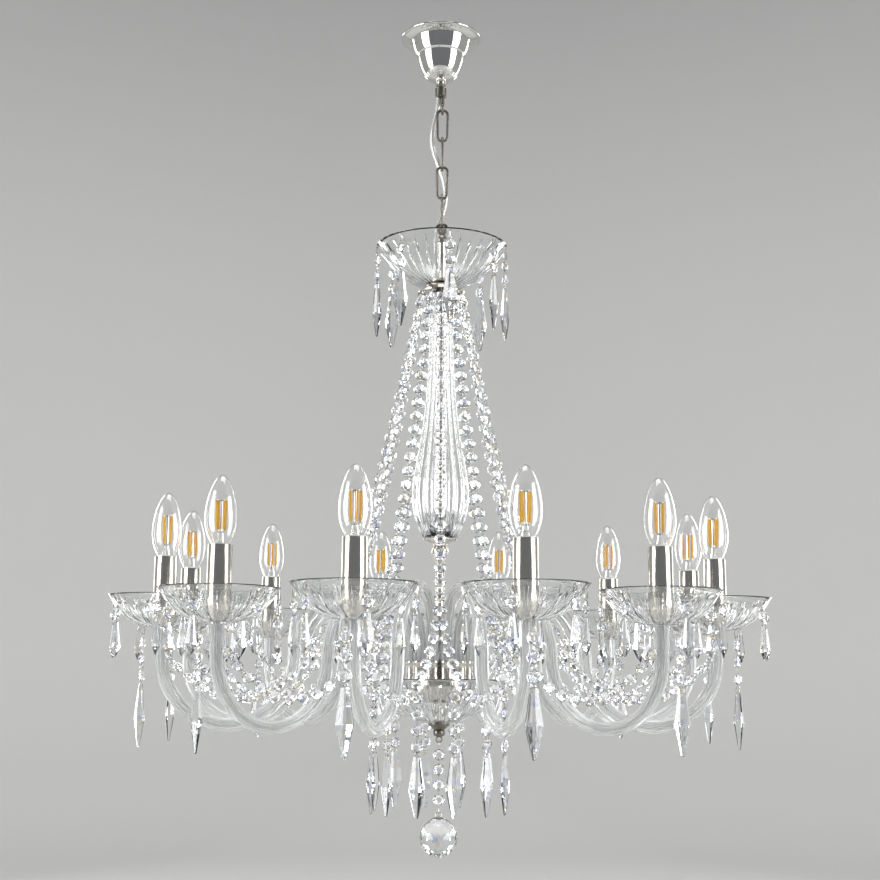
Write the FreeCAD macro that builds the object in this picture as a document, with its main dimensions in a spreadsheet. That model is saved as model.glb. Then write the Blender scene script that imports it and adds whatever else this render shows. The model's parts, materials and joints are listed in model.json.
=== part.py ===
"""Twelve-light crystal chandelier hung from a ceiling canopy by a chain of oval links.

Millimetres, +Z up. The origin lies in the ceiling plane on the line that carries the load: the
eye bolt, the chain and the column all hang on the Z axis. The front of the room is at -Y.
Every height is stacked downwards from the ceiling, so a piece always hangs from the one above it.
"""

import FreeCAD
import Part
import Sketcher
import math
import os
import re

from FreeCAD import Placement, Rotation, Vector

FULL_TURN = 360.0
QUARTER_TURN = FULL_TURN / 4
ORIGIN = Vector(0, 0, 0)
UP = Vector(0, 0, 1)
SIDEWAYS = Vector(0, 1, 0)
LARGEST_FACET_BEND = 1e-6
FINE_STEPS = 200

# Sides of the many-sided pieces. Fluted glass has one flute to every two sides.
ARM_SIDES = 6
BALUSTER_SIDES = 24
CORD_SIDES = 6
CUP_SIDES = 12
FITTING_SIDES = 12
LAMP_SIDES = 8
ROSETTE_SIDES = 24
SHEET_SIDES = 16
SLEEVE_SIDES = 10
SMALL_RING_SIDES = 6
WIRE_SIDES = 8

# A wall that leans outwards is this far across and up for one unit of thickness.
LEAN_ACROSS = 0.8
LEAN_UP = 0.6
# Wire thicknesses between the centres of two small rings that hang in each other.
RING_REACH = 1.0
# From foot to neck: share of the belly's radius, share of the height.
BALUSTER_SHAPE = [(0.84, 0.066), (1.0, 0.165), (0.84, 0.31), (0.6, 0.49)]
# From base to tip: share of the widest radius, share of the height.
LAMP_SHAPE = [(1.0, 0.3), (0.82, 0.62), (0.12, 1.0)]
BALL_SIDES = 10
BALL_LATITUDES = [-76, -45, -15, 15, 45, 76]

# alias: (millimetres or a count, meaning)
SIZES = {
    # ceiling fixing and canopy
    "bar_length": (62, "crossbar, end to end"),
    "bar_width": (14, "crossbar width"),
    "bar_plate": (2, "crossbar sheet thickness"),
    "bar_foot": (12, "flat foot at each end of the crossbar"),
    "bar_slope": (4, "run of each bent leg of the crossbar"),
    "bar_drop": (9, "fall of the crossbar's middle below the ceiling"),
    "screw_hole": (4.5, "hole for a ceiling screw"),
    "bolt_dia": (4.5, "eye bolt shank"),
    "bolt_head": (8, "eye bolt head across flats"),
    "bolt_head_height": (3.5, "eye bolt head height"),
    "block_length": (20, "terminal block length"),
    "block_width": (12, "terminal block width"),
    "block_height": (12, "terminal block height"),
    "block_well": (4, "square wire well in the terminal block"),
    "block_offset": (14.5, "terminal block centre from the bolt"),
    "canopy_offset": (2.4, "canopy centre to the left of the bolt, to make room for the cord"),
    "rosette_dia": (102, "rosette plate rim"),
    "rosette_edge": (2.5, "rosette rim thickness"),
    "rosette_depth": (6, "rosette dish depth"),
    "rosette_plate": (1.6, "rosette sheet thickness"),
    "rosette_scallop": (0.04, "share of the radius cut between the rosette's petals"),
    "bell_top_dia": (75, "bell rim"),
    "bell_step_dia": (62, "bell above its step"),
    "bell_shoulder_dia": (59, "bell below its step"),
    "bell_waist_dia": (50, "bell two thirds down"),
    "bell_bend_dia": (43, "bell where it turns in to its foot"),
    "bell_foot_dia": (25, "flat foot of the bell"),
    "bell_depth": (51, "bell height"),
    "bell_step_drop": (19, "rim to step"),
    "bell_waist_drop": (36, "rim to the bell's waist"),
    "bell_bend_drop": (43.5, "rim to that bend"),
    "bell_wall": (1.2, "bell sheet thickness"),
    "bush_dia": (12.3, "nickel bush under the bell"),
    "bush_length": (11, "nickel bush length"),
    "gland_dia": (14.8, "clamping collar under the bush"),
    "gland_length": (12, "clamping collar length"),
    "sliding_gap": (0.3, "clearance round the bolt"),
    "canopy_travel": (6.5, "fall of the loosened canopy"),
    # chain
    "eye_wire": (3.6, "wire of the ceiling eye and the chandelier's loop"),
    "eye_radius": (6.4, "eye centreline radius"),
    "link_wire": (3.4, "chain wire"),
    "link_length": (45.1, "chain link, outer length"),
    "link_width": (16.4, "chain link, outer width"),
    "link_gap": (0.3, "clearance where one wire hangs on another"),
    "cord_dia": (6.2, "translucent supply cord"),
    # column, from the top down
    "loop_collar_dia": (13, "collar under the chandelier's loop"),
    "loop_collar_height": (9, "loop collar height"),
    "rod_dia": (9.7, "hollow threaded rod, drawn solid"),
    "rod_gap": (0.3, "clearance of pieces threaded on the rod"),
    "rod_bare": (48, "bare rod above the bowl nut"),
    "bowl_nut_dia": (34, "disc that clamps the upper bowl and the cord's end"),
    "bowl_nut_height": (5, "bowl nut height"),
    "bowl_radius": (82, "glass bowl rim radius, both bowls"),
    "bowl_depth": (50.5, "glass bowl depth"),
    "bowl_wall": (4, "glass bowl wall"),
    "bowl_foot_radius": (19.7, "glass bowl's flat foot"),
    "bowl_waist_radius": (50.8, "bowl radius at its waist"),
    "bowl_waist_height": (15.2, "height of that waist"),
    "bowl_flute": (0.035, "share of the radius cut between the bowl's flutes"),
    "neck_dia": (38, "metal cup under the upper bowl"),
    "neck_height": (8, "neck cup height"),
    "crown_radius": (30, "hook plate that carries the bead strands"),
    "crown_plate": (3, "hook plate thickness"),
    "baluster_height": (304.5, "fluted glass baluster"),
    "baluster_top_radius": (17, "baluster top"),
    "baluster_neck_radius": (15.3, "baluster neck"),
    "baluster_neck_height": (231.4, "height of that neck"),
    "baluster_belly_radius": (35.7, "baluster belly"),
    "baluster_foot_radius": (21, "baluster foot"),
    "baluster_flute": (0.07, "share of the radius cut by each flute"),
    "foot_cap_dia": (42, "flared metal cap under the baluster"),
    "foot_cap_height": (6, "foot cap height"),
    "collar_dia": (21, "metal collar under the foot cap"),
    "collar_height": (17, "collar height"),
    "sleeve_tube_dia": (12.4, "nickel tube over the rod"),
    "sleeve_tube_length": (62, "nickel tube length"),
    "knob_radius": (11, "faceted glass knob"),
    "knob_end_radius": (8, "glass knob at its ends"),
    "knob_height": (22, "glass knob height"),
    "spacer_radius": (9, "glass tube over the hub"),
    "spacer_height": (59.5, "glass tube height"),
    # hub
    "hub_radius": (42, "hub plate"),
    "hub_plate": (3.5, "hub plate thickness"),
    "socket_ring": (33, "centre of the hub to each arm socket"),
    "socket_wall": (0.6, "socket wall"),
    "socket_height": (20.5, "socket height above the plate"),
    "arm_fit": (0.3, "clearance round an arm in its socket"),
    "cover_radius": (34, "wiring cover under the hub plate"),
    "cover_height": (24, "wiring cover height"),
    "lower_tube_dia": (16, "tube between cover and lower bowl"),
    "lower_bowl_rise": (3, "lower bowl's rim above the hub plate's underside"),
    "finial_radius": (13, "dark cap under the lower bowl"),
    "finial_cap_height": (8, "finial cap height"),
    "finial_lip": (2.4, "upright edge of the finial cap"),
    "finial_nut_radius": (7, "nut under the finial cap"),
    "finial_nut_height": (8, "finial nut height"),
    # arms, cups and lamps
    "lights": (12, "number of arms"),
    "arm_width": (13.2, "six-sided glass arm across its flats"),
    "ring_radius": (324.7, "centre of the column to each candle"),
    "valley_radius": (75, "bend under each candle"),
    "crest_height": (103.5, "arm crest above the hub plate's top, centreline"),
    "arm_end_height": (54.5, "arm end above the hub plate's top"),
    "arm_end_rise": (32.2, "upright end of the arm above its lowest bend's centre"),
    "cup_radius": (64.5, "glass drip cup rim"),
    "cup_depth": (37, "drip cup depth"),
    "cup_foot_radius": (14, "flat foot of the cup"),
    "cup_waist_radius": (48, "cup radius at a third of its depth"),
    "cup_waist_height": (13, "height of that waist"),
    "cup_wall": (3.2, "cup wall"),
    "cup_hole": (10, "wire hole through the cup"),
    "seat_gap": (0.3, "clearance between a piece and its seat"),
    "candle_dia": (26, "nickel candle sleeve"),
    "candle_height": (78, "candle sleeve height"),
    "lamp_base_dia": (23, "glass candle lamp where it leaves the sleeve"),
    "lamp_dia": (35, "glass candle lamp at its widest"),
    "lamp_height": (73, "lamp above the sleeve"),
    # crystals
    "crystal_width": (14, "octagon crystal across"),
    "crystal_depth": (7, "octagon crystal front to back"),
    "pin_gap": (0.4, "gap of the wire pins between crystals"),
    "strand_top_inset": (3, "strand hooks inside the crown's rim"),
    "strand_low_radius": (125, "where a strand parts into two swags"),
    "strand_low_height": (81.5, "that point above the hub plate's top"),
    "strand_curve": (0.22, "how much a strand hangs inwards"),
    "strand_crystals": (10, "drawn crystals in a strand, each a pair of real ones"),
    "swag_crystals": (7, "drawn crystals in a swag, each a pair of real ones"),
    "swag_sag": (78, "fall of a swag below its chord"),
    "swag_end_height": (31.5, "swag hook on the arm above the hub plate's top"),
    "swag_clear": (5.5, "how far a swag swings out from the arm beside it"),
    "swag_part": (0.6, "half the space between the two swags of a strand"),
    "cup_drops": (6, "pear drops round a cup"),
    "drop_width": (15, "pear drop width"),
    "drop_depth": (9, "pear drop front to back"),
    "drop_length": (38.5, "pear drop length"),
    "drop_waist": (0.71, "share of the drop's length above its widest place"),
    "icicle_width": (20, "icicle width"),
    "icicle_depth": (11, "icicle front to back"),
    "icicle_length": (68, "icicle length"),
    "icicle_waist": (0.51, "share of the icicle above its widest place"),
    "hook_length": (9, "wire hook between a glass rim and the first octagon under it"),
    "chain_pitch": (18.5, "pitch of the octagons above a drop"),
    "icicle_outset": (23, "long cup strand outside the candle's centre"),
    "cup_octagons": (3, "octagons above the long drop of a cup"),
    "upper_drops": (8, "icicles on the upper bowl's rim"),
    "upper_octagons": (2, "octagons above each of them"),
    "upper_turn": (7, "degrees that the upper bowl stands turned"),
    "lower_drops": (12, "icicles on the lower bowl's rim"),
    "lower_octagons": (4, "octagons above each of them"),
    "lower_turn": (12, "degrees that the lower bowl stands turned"),
    "rim_inset": (2, "drop hooks inside a glass rim"),
    # ball drop
    "ring_wire": (1.6, "square wire of the ball drop's rings"),
    "ring_radius_small": (3.4, "centreline radius of those rings"),
    "ball_strand_crystals": (4, "octagons above the ball"),
    "ball_pitch": (17, "their pitch"),
    "ball_dia": (45, "faceted crystal ball"),
}

# Heights of the stacked pieces, each from the one above. A name here can be used as a size.
LEVELS = {
    "bar_level": "-bar_drop - bar_plate",
    "rosette_foot": "-rosette_depth",
    "bell_foot": "rosette_foot - bell_depth",
    "bush_foot": "bell_foot - bush_length",
    "gland_foot": "bush_foot - gland_length",
    "eye_centre": "gland_foot - canopy_travel - seat_gap - eye_wire / 2 - eye_radius",
    "first_hinge": "eye_centre - eye_radius",
    "link_span": "link_length - link_wire",
    "first_step": "link_span - (eye_wire + link_wire) / 2 - link_gap",
    "next_step": "link_span - link_wire - link_gap",
    "last_hinge": "first_hinge - first_step - 3 * next_step",
    "loop_centre": "last_hinge + (eye_wire + link_wire) / 2 + link_gap - eye_radius",
    "loop_foot": "loop_centre - eye_radius - eye_wire / 2",
    "rod_top": "loop_foot - loop_collar_height",
    "bowl_nut_top": "rod_top - rod_bare",
    "bowl_foot": "bowl_nut_top - bowl_nut_height - bowl_wall",
    "neck_foot": "bowl_foot - neck_height",
    "crown_foot": "neck_foot - crown_plate",
    "baluster_foot": "crown_foot - baluster_height",
    "foot_cap_foot": "baluster_foot - foot_cap_height",
    "collar_foot": "foot_cap_foot - collar_height",
    "sleeve_tube_foot": "collar_foot - sleeve_tube_length",
    "knob_foot": "sleeve_tube_foot - knob_height",
    "hub_top": "knob_foot - spacer_height",
    "hub_foot": "hub_top - hub_plate",
    "cover_foot": "hub_foot - cover_height",
    "lower_bowl_foot": "hub_foot + lower_bowl_rise - bowl_depth",
    "finial_foot": "lower_bowl_foot - finial_cap_height - finial_nut_height",
    "hook_centre": "finial_foot - ring_radius_small",
    "ball_hinge": "hook_centre - ring_radius_small",
    "rod_bore": "rod_dia / 2 + rod_gap / 2",
}

doc = FreeCAD.newDocument("chandelier")
sizes = doc.addObject("Spreadsheet::Sheet", "sizes")
for row, (alias, (amount, meaning)) in enumerate(SIZES.items(), start=1):
    sizes.set(f"A{row}", meaning)
    sizes.set(f"B{row}", str(amount))
    sizes.setAlias(f"B{row}", alias)
doc.recompute()

nodes = {}


def spelled(text):
    """The formula with each level written out and each size named in its sheet."""

    def named(match):
        word = match.group(0)
        if word in LEVELS:
            return "(" + spelled(LEVELS[word]) + ")"
        return "sizes." + word

    return re.sub(r"\b[a-z][a-z_]*\b(?!\()", named, text)


def size(text):
    """The number that a formula of sizes and levels gives."""
    return float(sizes.evalExpression(spelled(text)))


def bind(item, **formulas):
    """Ties properties of an object to formulas; X, Y and Z stand for its place."""
    for name, text in formulas.items():
        path = f"Placement.Base.{name.lower()}" if name in ("X", "Y", "Z") else name
        item.setExpression(path, spelled(text))
    return item


def node(item, label):
    """Marks the object as a sub-part with a file of its own."""
    item.Label = label
    nodes[label] = item
    return item


# ---------------------------------------------------------------- bound primitives


def cylinder(name, radius, height, **place):
    return bind(doc.addObject("Part::Cylinder", name), Radius=radius, Height=height, **place)


def box(name, length, width, height, **place):
    return bind(doc.addObject("Part::Box", name), Length=length, Width=width, Height=height, **place)


def cut(name, base, tool):
    item = doc.addObject("Part::Cut", name)
    item.Base = base
    item.Tool = tool
    return item


def fuse(name, pieces):
    item = doc.addObject("Part::MultiFuse", name)
    item.Shapes = pieces
    return item


def group(name, pieces):
    item = doc.addObject("Part::Compound", name)
    item.Links = pieces
    return item


def outline(body, plane, points):
    """A closed sketch through the points, each coordinate tied to its formula."""
    name = f"{body.Name}_outline"
    sketch = body.newObject("Sketcher::SketchObject", name)
    sketch.AttachmentSupport = [(next(f for f in body.Origin.OriginFeatures if f.Role == plane), "")]
    sketch.MapMode = "FlatFace"
    corners = [Vector(size(across), size(up), 0) for across, up in points]
    for index, corner in enumerate(corners):
        sketch.addGeometry(Part.LineSegment(corner, corners[(index + 1) % len(corners)]))
    start, horizontal_axis, vertical_axis, sheet_origin = 1, -1, -2, -1
    for index in range(len(corners)):
        following = (index + 1) % len(corners)
        sketch.addConstraint(Sketcher.Constraint("Coincident", index, 2, following, start))
    for index, texts in enumerate(points):
        for kind, text, axis in zip(("X", "Y"), texts, (vertical_axis, horizontal_axis)):
            amount = size(text)
            if amount == 0:
                sketch.addConstraint(Sketcher.Constraint("PointOnObject", index, start, axis))
                continue
            ends = (sheet_origin, start, index, start)
            if amount < 0:
                ends = (index, start, sheet_origin, start)
                text = f"-({text})"
            place = sketch.addConstraint(Sketcher.Constraint(f"Distance{kind}", *ends, abs(amount)))
            label = f"{kind.lower()}_{index}"
            sketch.renameConstraint(place, label)
            sketch.setExpression(f"Constraints.{label}", spelled(text))
    return sketch


# ---------------------------------------------------------------- flat-faced solids


def facet(points):
    """A flat face through three or four points, or two triangles where four don't lie flat."""
    if len(points) == 4:
        a, b, c, d = points
        normal = (b - a).cross(c - a)
        if normal.Length and abs(normal.normalize().dot(d - a)) > LARGEST_FACET_BEND:
            return [*facet([a, b, c]), *facet([a, c, d])]
    return [Part.Face(Part.makePolygon([*points, points[0]]))]


def skin(rings, closed=False):
    """A solid whose walls join each ring of points to the next; closed joins the last to the first."""
    pairs = list(zip(rings, rings[1:]))
    faces = []
    if closed:
        pairs.append((rings[-1], rings[0]))
    else:
        faces += [Part.Face(Part.makePolygon([*end, end[0]])) for end in (rings[0], rings[-1])]
    for low, high in pairs:
        for index in range(len(low)):
            after = (index + 1) % len(low)
            faces += facet([low[index], low[after], high[after], high[index]])
    solid = Part.makeSolid(Part.makeShell(faces))
    if solid.Volume < 0:
        solid.reverse()
    return solid


def circle_of(radius, height, sides, flute=0.0):
    """Corners round the Z axis; with a flute every second corner is drawn in by that share."""
    spread = FULL_TURN / sides
    corners = []
    for index in range(sides):
        turn = math.radians(index * spread)
        reach = radius * (1 - flute * (index % 2))
        corners.append(Vector(reach * math.cos(turn), reach * math.sin(turn), height))
    return corners


def faceted(profile, sides, closed=True):
    """A many-sided turned shape from (radius, height) or (radius, height, flute) points."""
    return skin([circle_of(p[0], p[1], sides, *p[2:]) for p in profile], closed)


def bore(sides):
    """Corner radius of a many-sided bore whose flats clear the rod."""
    return size("rod_bore") / math.cos(math.pi / sides)


def ring(name, foot_radius, top_radius, height, foot):
    """A many-sided ring threaded on the rod, standing at its foot level."""
    hole, high = bore(FITTING_SIDES), size(height)
    item = doc.addObject("Part::Feature", name)
    corners = [(hole, 0), (size(foot_radius), 0), (size(top_radius), high), (hole, high)]
    item.Shape = faceted(corners, FITTING_SIDES)
    return bind(item, Z=foot)


def tube(path, width, sides, closed=False):
    """A tube with flat sides and mitred corners along a path in the XZ plane.

    The width is across the flats, and two of the flats face along Y.
    """
    rings = []
    corner_reach = width / 2 / math.cos(math.pi / sides)
    for index, place in enumerate(path):
        before, after = path[index - 1], path[(index + 1) % len(path)]
        arriving = (place - before).normalize() if closed or index else None
        leaving = (after - place).normalize() if closed or index < len(path) - 1 else None
        arriving = arriving or leaving
        leaving = leaving or arriving
        half_turn = arriving.getAngle(leaving) / 2
        across = (arriving + leaving).normalize().cross(SIDEWAYS) / math.cos(half_turn)
        corners = []
        for side in range(sides):
            angle = 2 * math.pi * (side + (0.5 if sides % 4 == 0 else 0)) / sides
            offset = across * math.cos(angle) + SIDEWAYS * math.sin(angle)
            corners.append(place + offset * corner_reach)
        rings.append(corners)
    return skin(rings, closed)


def arc_about(centre, radius, first, last, steps):
    """Corners of a path whose straight runs touch a circle, between two directions in degrees."""
    step = (last - first) / steps
    reach = radius / math.cos(math.radians(step / 2))
    turns = [math.radians(first + step * (index + 0.5)) for index in range(steps)]
    return [centre + Vector(reach * math.cos(t), 0, reach * math.sin(t)) for t in turns]


def crystal(top, foot, width, depth, waist=0.5, facing=None):
    """A cut crystal with a flat back and a ridged front, widest at that share of its length."""
    run = foot - top
    facing = facing or Vector(top.x + foot.x, top.y + foot.y, 0)
    side = run.cross(facing).normalize()
    front = side.cross(run).normalize()
    back = top + run * waist - front * depth / 3
    girdle = [back + side * width / 2, back + front * depth, back - side * width / 2]
    faces = []
    for index, corner in enumerate(girdle):
        following = girdle[(index + 1) % len(girdle)]
        faces += facet([top, corner, following])
        faces += facet([foot, following, corner])
    solid = Part.makeSolid(Part.makeShell(faces))
    if solid.Volume < 0:
        solid.reverse()
    return solid


def string_of(points, width, depth, facing=None):
    """Crystals between successive points, with the gap of a wire pin at each end."""
    solids = []
    for top, foot in zip(points, points[1:]):
        inset = (foot - top).normalize() * (PIN_GAP / 2)
        solids.append(crystal(top + inset, foot - inset, width, depth, facing=facing))
    return solids


def evenly(curve, count):
    """count + 1 points at equal steps along a curve given as a function of 0 to 1."""
    fine = [curve(index / FINE_STEPS) for index in range(FINE_STEPS + 1)]
    lengths = [0.0]
    for before, after in zip(fine, fine[1:]):
        lengths.append(lengths[-1] + (after - before).Length)
    points, place = [], 0
    for index in range(count + 1):
        wanted = lengths[-1] * index / count
        while place < FINE_STEPS - 1 and lengths[place + 1] < wanted:
            place += 1
        share = (wanted - lengths[place]) / (lengths[place + 1] - lengths[place])
        points.append(fine[place] + (fine[place + 1] - fine[place]) * share)
    return points


def feature(label, shape, **place):
    """A sub-part whose shape is made here from the sheet's sizes."""
    item = doc.addObject("Part::Feature", label)
    item.Shape = shape
    bind(item, **place)
    return node(item, label)


def around(solids, count, first=0.0):
    """Copies of the solids at equal angles round the Z axis, from the first angle on."""
    copies = []
    for index in range(count):
        for solid in solids:
            copy = solid.copy()
            copy.rotate(ORIGIN, UP, first + FULL_TURN * index / count)
            copies.append(copy)
    return copies


PIN_GAP = size("pin_gap")
LIGHTS = int(size("lights"))
LIGHT_SPACING = FULL_TURN / LIGHTS
FIRST_LIGHT = LIGHT_SPACING / 2 - QUARTER_TURN
HUB_TOP = size("hub_top")


# ---------------------------------------------------------------- ceiling fixing


def ceiling_fixing():
    half = "bar_length / 2"
    inner = "(bar_length / 2 - bar_foot)"
    low = f"({inner} - bar_slope)"
    points = [
        (half, "0"),
        (inner, "0"),
        (low, "-bar_drop"),
        (f"-{low}", "-bar_drop"),
        (f"-{inner}", "0"),
        (f"-({half})", "0"),
        (f"-({half})", "-bar_plate"),
        (f"-({inner} + bar_plate / 2)", "-bar_plate"),
        (f"-({low} + bar_plate / 2)", "-bar_drop - bar_plate"),
        (f"{low} + bar_plate / 2", "-bar_drop - bar_plate"),
        (f"{inner} + bar_plate / 2", "-bar_plate"),
        (half, "-bar_plate"),
    ]
    strap = doc.addObject("PartDesign::Body", "bent_strap")
    pad = strap.newObject("PartDesign::Pad", "strap_width")
    pad.Profile = outline(strap, "XZ_Plane", points)
    bind(pad, Length="bar_width")
    bind(strap, Y="bar_width / 2")
    screw_place = "(bar_length - bar_foot) / 2"
    depth = "bar_drop + 4 * bar_plate"
    foot = "-bar_drop - 2 * bar_plate"
    holes = [
        cylinder("screw_hole_right", "screw_hole / 2", depth, X=screw_place, Z=foot),
        cylinder("screw_hole_left", "screw_hole / 2", depth, X=f"-{screw_place}", Z=foot),
        cylinder("bolt_hole", "(bolt_dia + sliding_gap) / 2", depth, Z=foot),
    ]
    node(cut("crossbar", strap, fuse("bar_holes", holes)), "ceiling_bar")

    # The eye bolt hangs by its head in the crossbar's middle and ends in the first eye.
    shank = cylinder(
        "bolt_shank", "bolt_dia / 2", "-eye_centre - eye_radius - bar_drop", Z="eye_centre + eye_radius"
    )
    head = doc.addObject("Part::Prism", "bolt_hexagon")
    head.Polygon = 6
    bind(head, Circumradius="bolt_head / sqrt(3)", Height="bolt_head_height", Z="-bar_drop")
    eye = doc.addObject("Part::Feature", "bolt_eye")
    eye.Shape = loop_of_wire()
    eye.Placement = Placement(Vector(0, 0, size("eye_centre")), Rotation(UP, 90))
    node(fuse("eye_bolt_whole", [shank, head, eye]), "eye_bolt")

    block = box(
        "block_body",
        "block_length",
        "block_width",
        "block_height",
        X="block_offset - block_length / 2",
        Y="-block_width / 2",
        Z="bar_level - block_height",
    )
    wells = []
    for place in (1, 2, 3):
        wells.append(
            box(
                f"block_well_{place}",
                "block_well",
                "block_well",
                "block_height",
                X=f"block_offset + ({place} - 2) * block_length / 3 - block_well / 2",
                Y="-block_well / 2",
                Z="bar_level - block_height * 1.5",
            )
        )
    node(cut("wired_block", block, fuse("block_wells", wells)), "terminal_block")


def loop_of_wire():
    """A ring of wire in the XZ plane about its own centre."""
    first = FULL_TURN / WIRE_SIDES / 2
    path = arc_about(ORIGIN, size("eye_radius"), first, first + FULL_TURN, WIRE_SIDES)
    return tube(path, size("eye_wire"), WIRE_SIDES, closed=True)


# ---------------------------------------------------------------- canopy


def canopy():
    rim = size("rosette_dia / 2")
    seat = size("bell_top_dia / 2")
    depth, sheet, edge = size("rosette_depth"), size("rosette_plate"), size("rosette_edge")
    petals = size("rosette_scallop")
    profile = [
        (rim, 0, petals),
        (rim, -edge, petals),
        (seat + sheet, -depth),
        (seat - 2 * sheet, -depth),
        (seat, sheet - depth),
        (rim - 2 * sheet, 0, petals),
    ]
    feature("canopy_rosette", faceted(profile, ROSETTE_SIDES), X="-canopy_offset")

    wall = size("bell_wall")
    foot = -size("bell_depth")
    step, waist, bend = (-size(f"bell_{place}_drop") for place in ("step", "waist", "bend"))
    step_radius, shoulder = size("bell_step_dia / 2"), size("bell_shoulder_dia / 2")
    waist_radius, bend_radius = size("bell_waist_dia / 2"), size("bell_bend_dia / 2")
    foot_radius = size("bell_foot_dia / 2")
    hole = size("bush_dia / 2") - wall
    profile = [
        (seat, 0),
        (step_radius, step),
        (shoulder, step),
        (waist_radius, waist),
        (bend_radius, bend),
        (foot_radius, foot),
        (hole, foot),
        (hole, foot + wall),
        (foot_radius - wall, foot + wall),
        (bend_radius - wall, bend + wall / 2),
        (waist_radius - wall, waist),
        (shoulder - wall, step + wall),
        (seat - wall, 0),
    ]
    feature("canopy_bell", faceted(profile, SHEET_SIDES), X="-canopy_offset", Z="rosette_foot")

    # Bush and clamping collar are bored beside their middle, where the eye bolt runs.
    passage = tube([ORIGIN, UP * size("bell_depth")], size("bolt_dia + sliding_gap"), WIRE_SIDES)
    for label, width, length, foot_level in (
        ("canopy_bush", "bush_dia", "bush_length", "bush_foot"),
        ("cord_gland", "gland_dia", "gland_length", "gland_foot"),
    ):
        radius, height = size(f"{width} / 2"), size(length)
        solid = faceted([(radius, 0), (radius, height)], SHEET_SIDES, closed=False)
        hole = passage.copy()
        hole.translate(Vector(size("canopy_offset"), 0, -1))
        feature(label, solid.cut(hole), X="-canopy_offset", Z=foot_level)


# ---------------------------------------------------------------- chain and cord


def link_shape():
    """One oval link in the XZ plane, its upper wire's centre at the origin."""
    bend = size("(link_width - link_wire) / 2")
    drop = size("link_span") - 2 * bend
    upper, lower = Vector(0, 0, -bend), Vector(0, 0, -bend - drop)
    path = arc_about(upper, bend, 0, 180, 4) + arc_about(lower, bend, 180, FULL_TURN, 4)
    return tube(path, size("link_wire"), WIRE_SIDES, closed=True)


def chain():
    top = size("first_hinge + (eye_wire + link_wire) / 2 + link_gap")
    for index in range(4):
        item = doc.addObject("Part::Feature", f"link_{index + 1}")
        item.Shape = link_shape()
        item.Placement = Placement(Vector(0, 0, top), Rotation(UP, 90 * (index % 2)))
        node(item, f"chain_link_{index + 1}")
        top -= size("next_step")


# The cord bows out to the left of the first link, passes behind the chain to its right side and
# crosses behind it again into the upper bowl. X and Y from the chain, Z above the cord's lower end.
CORD_ROUTE = [
    (-5.2, 3.1, 0.0),
    (-5.2, 3.1, -11.0),
    (-9.0, 5.6, -26.0),
    (-13.2, 6.2, -45.0),
    (-12.6, 8.4, -64.0),
    (-5.5, 11.8, -84.0),
    (1.8, 13.2, -103.0),
    (5.2, 11.6, -122.0),
    (3.6, 12.0, -142.0),
    (-3.0, 12.2, -162.0),
    (-7.6, 9.9, -187.0),
    (-6.3, 8.2, -214.0),
    (-6.3, 8.2, -240.0),
]


def power_cord():
    """A tube along straight runs joined by tangent arcs, each as large as its runs allow."""
    start = size("gland_foot")
    points = [Vector(x, y, start + z) for x, y, z in CORD_ROUTE]
    points[-1].z = size("bowl_nut_top")
    radius = size("cord_dia / 2")
    edges, place, length, radii = [], points[0], 0.0, []
    for before, corner, after in zip(points, points[1:], points[2:]):
        arriving, leaving = (corner - before), (after - corner)
        half_turn = arriving.getAngle(leaving) / 2
        reach = 0.45 * min(arriving.Length, leaving.Length)
        radii.append(reach / math.tan(half_turn))
        arriving.normalize()
        leaving.normalize()
        first, last = corner - arriving * reach, corner + leaving * reach
        bisector = (leaving - arriving).normalize()
        middle = corner + bisector * radii[-1] * (1 / math.cos(half_turn) - 1)
        edges.append(Part.LineSegment(place, first).toShape())
        edges.append(Part.Arc(first, middle, last).toShape())
        place = last
    edges.append(Part.LineSegment(place, points[-1]).toShape())
    route = Part.Wire(edges)
    first_run = points[1] - points[0]
    across = first_run.cross(SIDEWAYS).normalize()
    behind = across.cross(first_run).normalize()
    corners = []
    for side in range(CORD_SIDES):
        angle = 2 * math.pi * side / CORD_SIDES
        corners.append(points[0] + (across * math.cos(angle) + behind * math.sin(angle)) * radius)
    section = Part.makePolygon([*corners, corners[0]])
    solid = route.makePipeShell([section], True, False)
    length = route.Length
    expected = Part.Face(section).Area * length
    print(f"cord length {length:.1f} mm, least bend {min(radii):.1f} mm, radii",
          [round(r, 1) for r in radii])
    print(f"cord volume {solid.Volume:.0f} mm3, section times length {expected:.0f} mm3")
    feature("power_cord", solid)


# ---------------------------------------------------------------- column


def glass_bowl(label, foot, which):
    """The upper or lower fluted glass bowl, open at the top, with a hole for the rod."""
    sides = 2 * int(size(f"{which}_drops"))
    rim, depth, wall = size("bowl_radius"), size("bowl_depth"), size("bowl_wall")
    waist, waist_height = size("bowl_waist_radius"), size("bowl_waist_height")
    foot_radius, flute, hole = size("bowl_foot_radius"), size("bowl_flute"), bore(sides)
    profile = [
        (hole, 0),
        (foot_radius, 0),
        (waist, waist_height, flute),
        (rim, depth, flute),
        (rim - wall, depth, flute),
        (waist - LEAN_ACROSS * wall, waist_height + LEAN_UP * wall, flute),
        (foot_radius, wall),
        (hole, wall),
    ]
    shape = faceted(profile, sides)
    shape.rotate(ORIGIN, UP, size(f"{which}_turn"))
    feature(label, shape, Z=foot)


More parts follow.
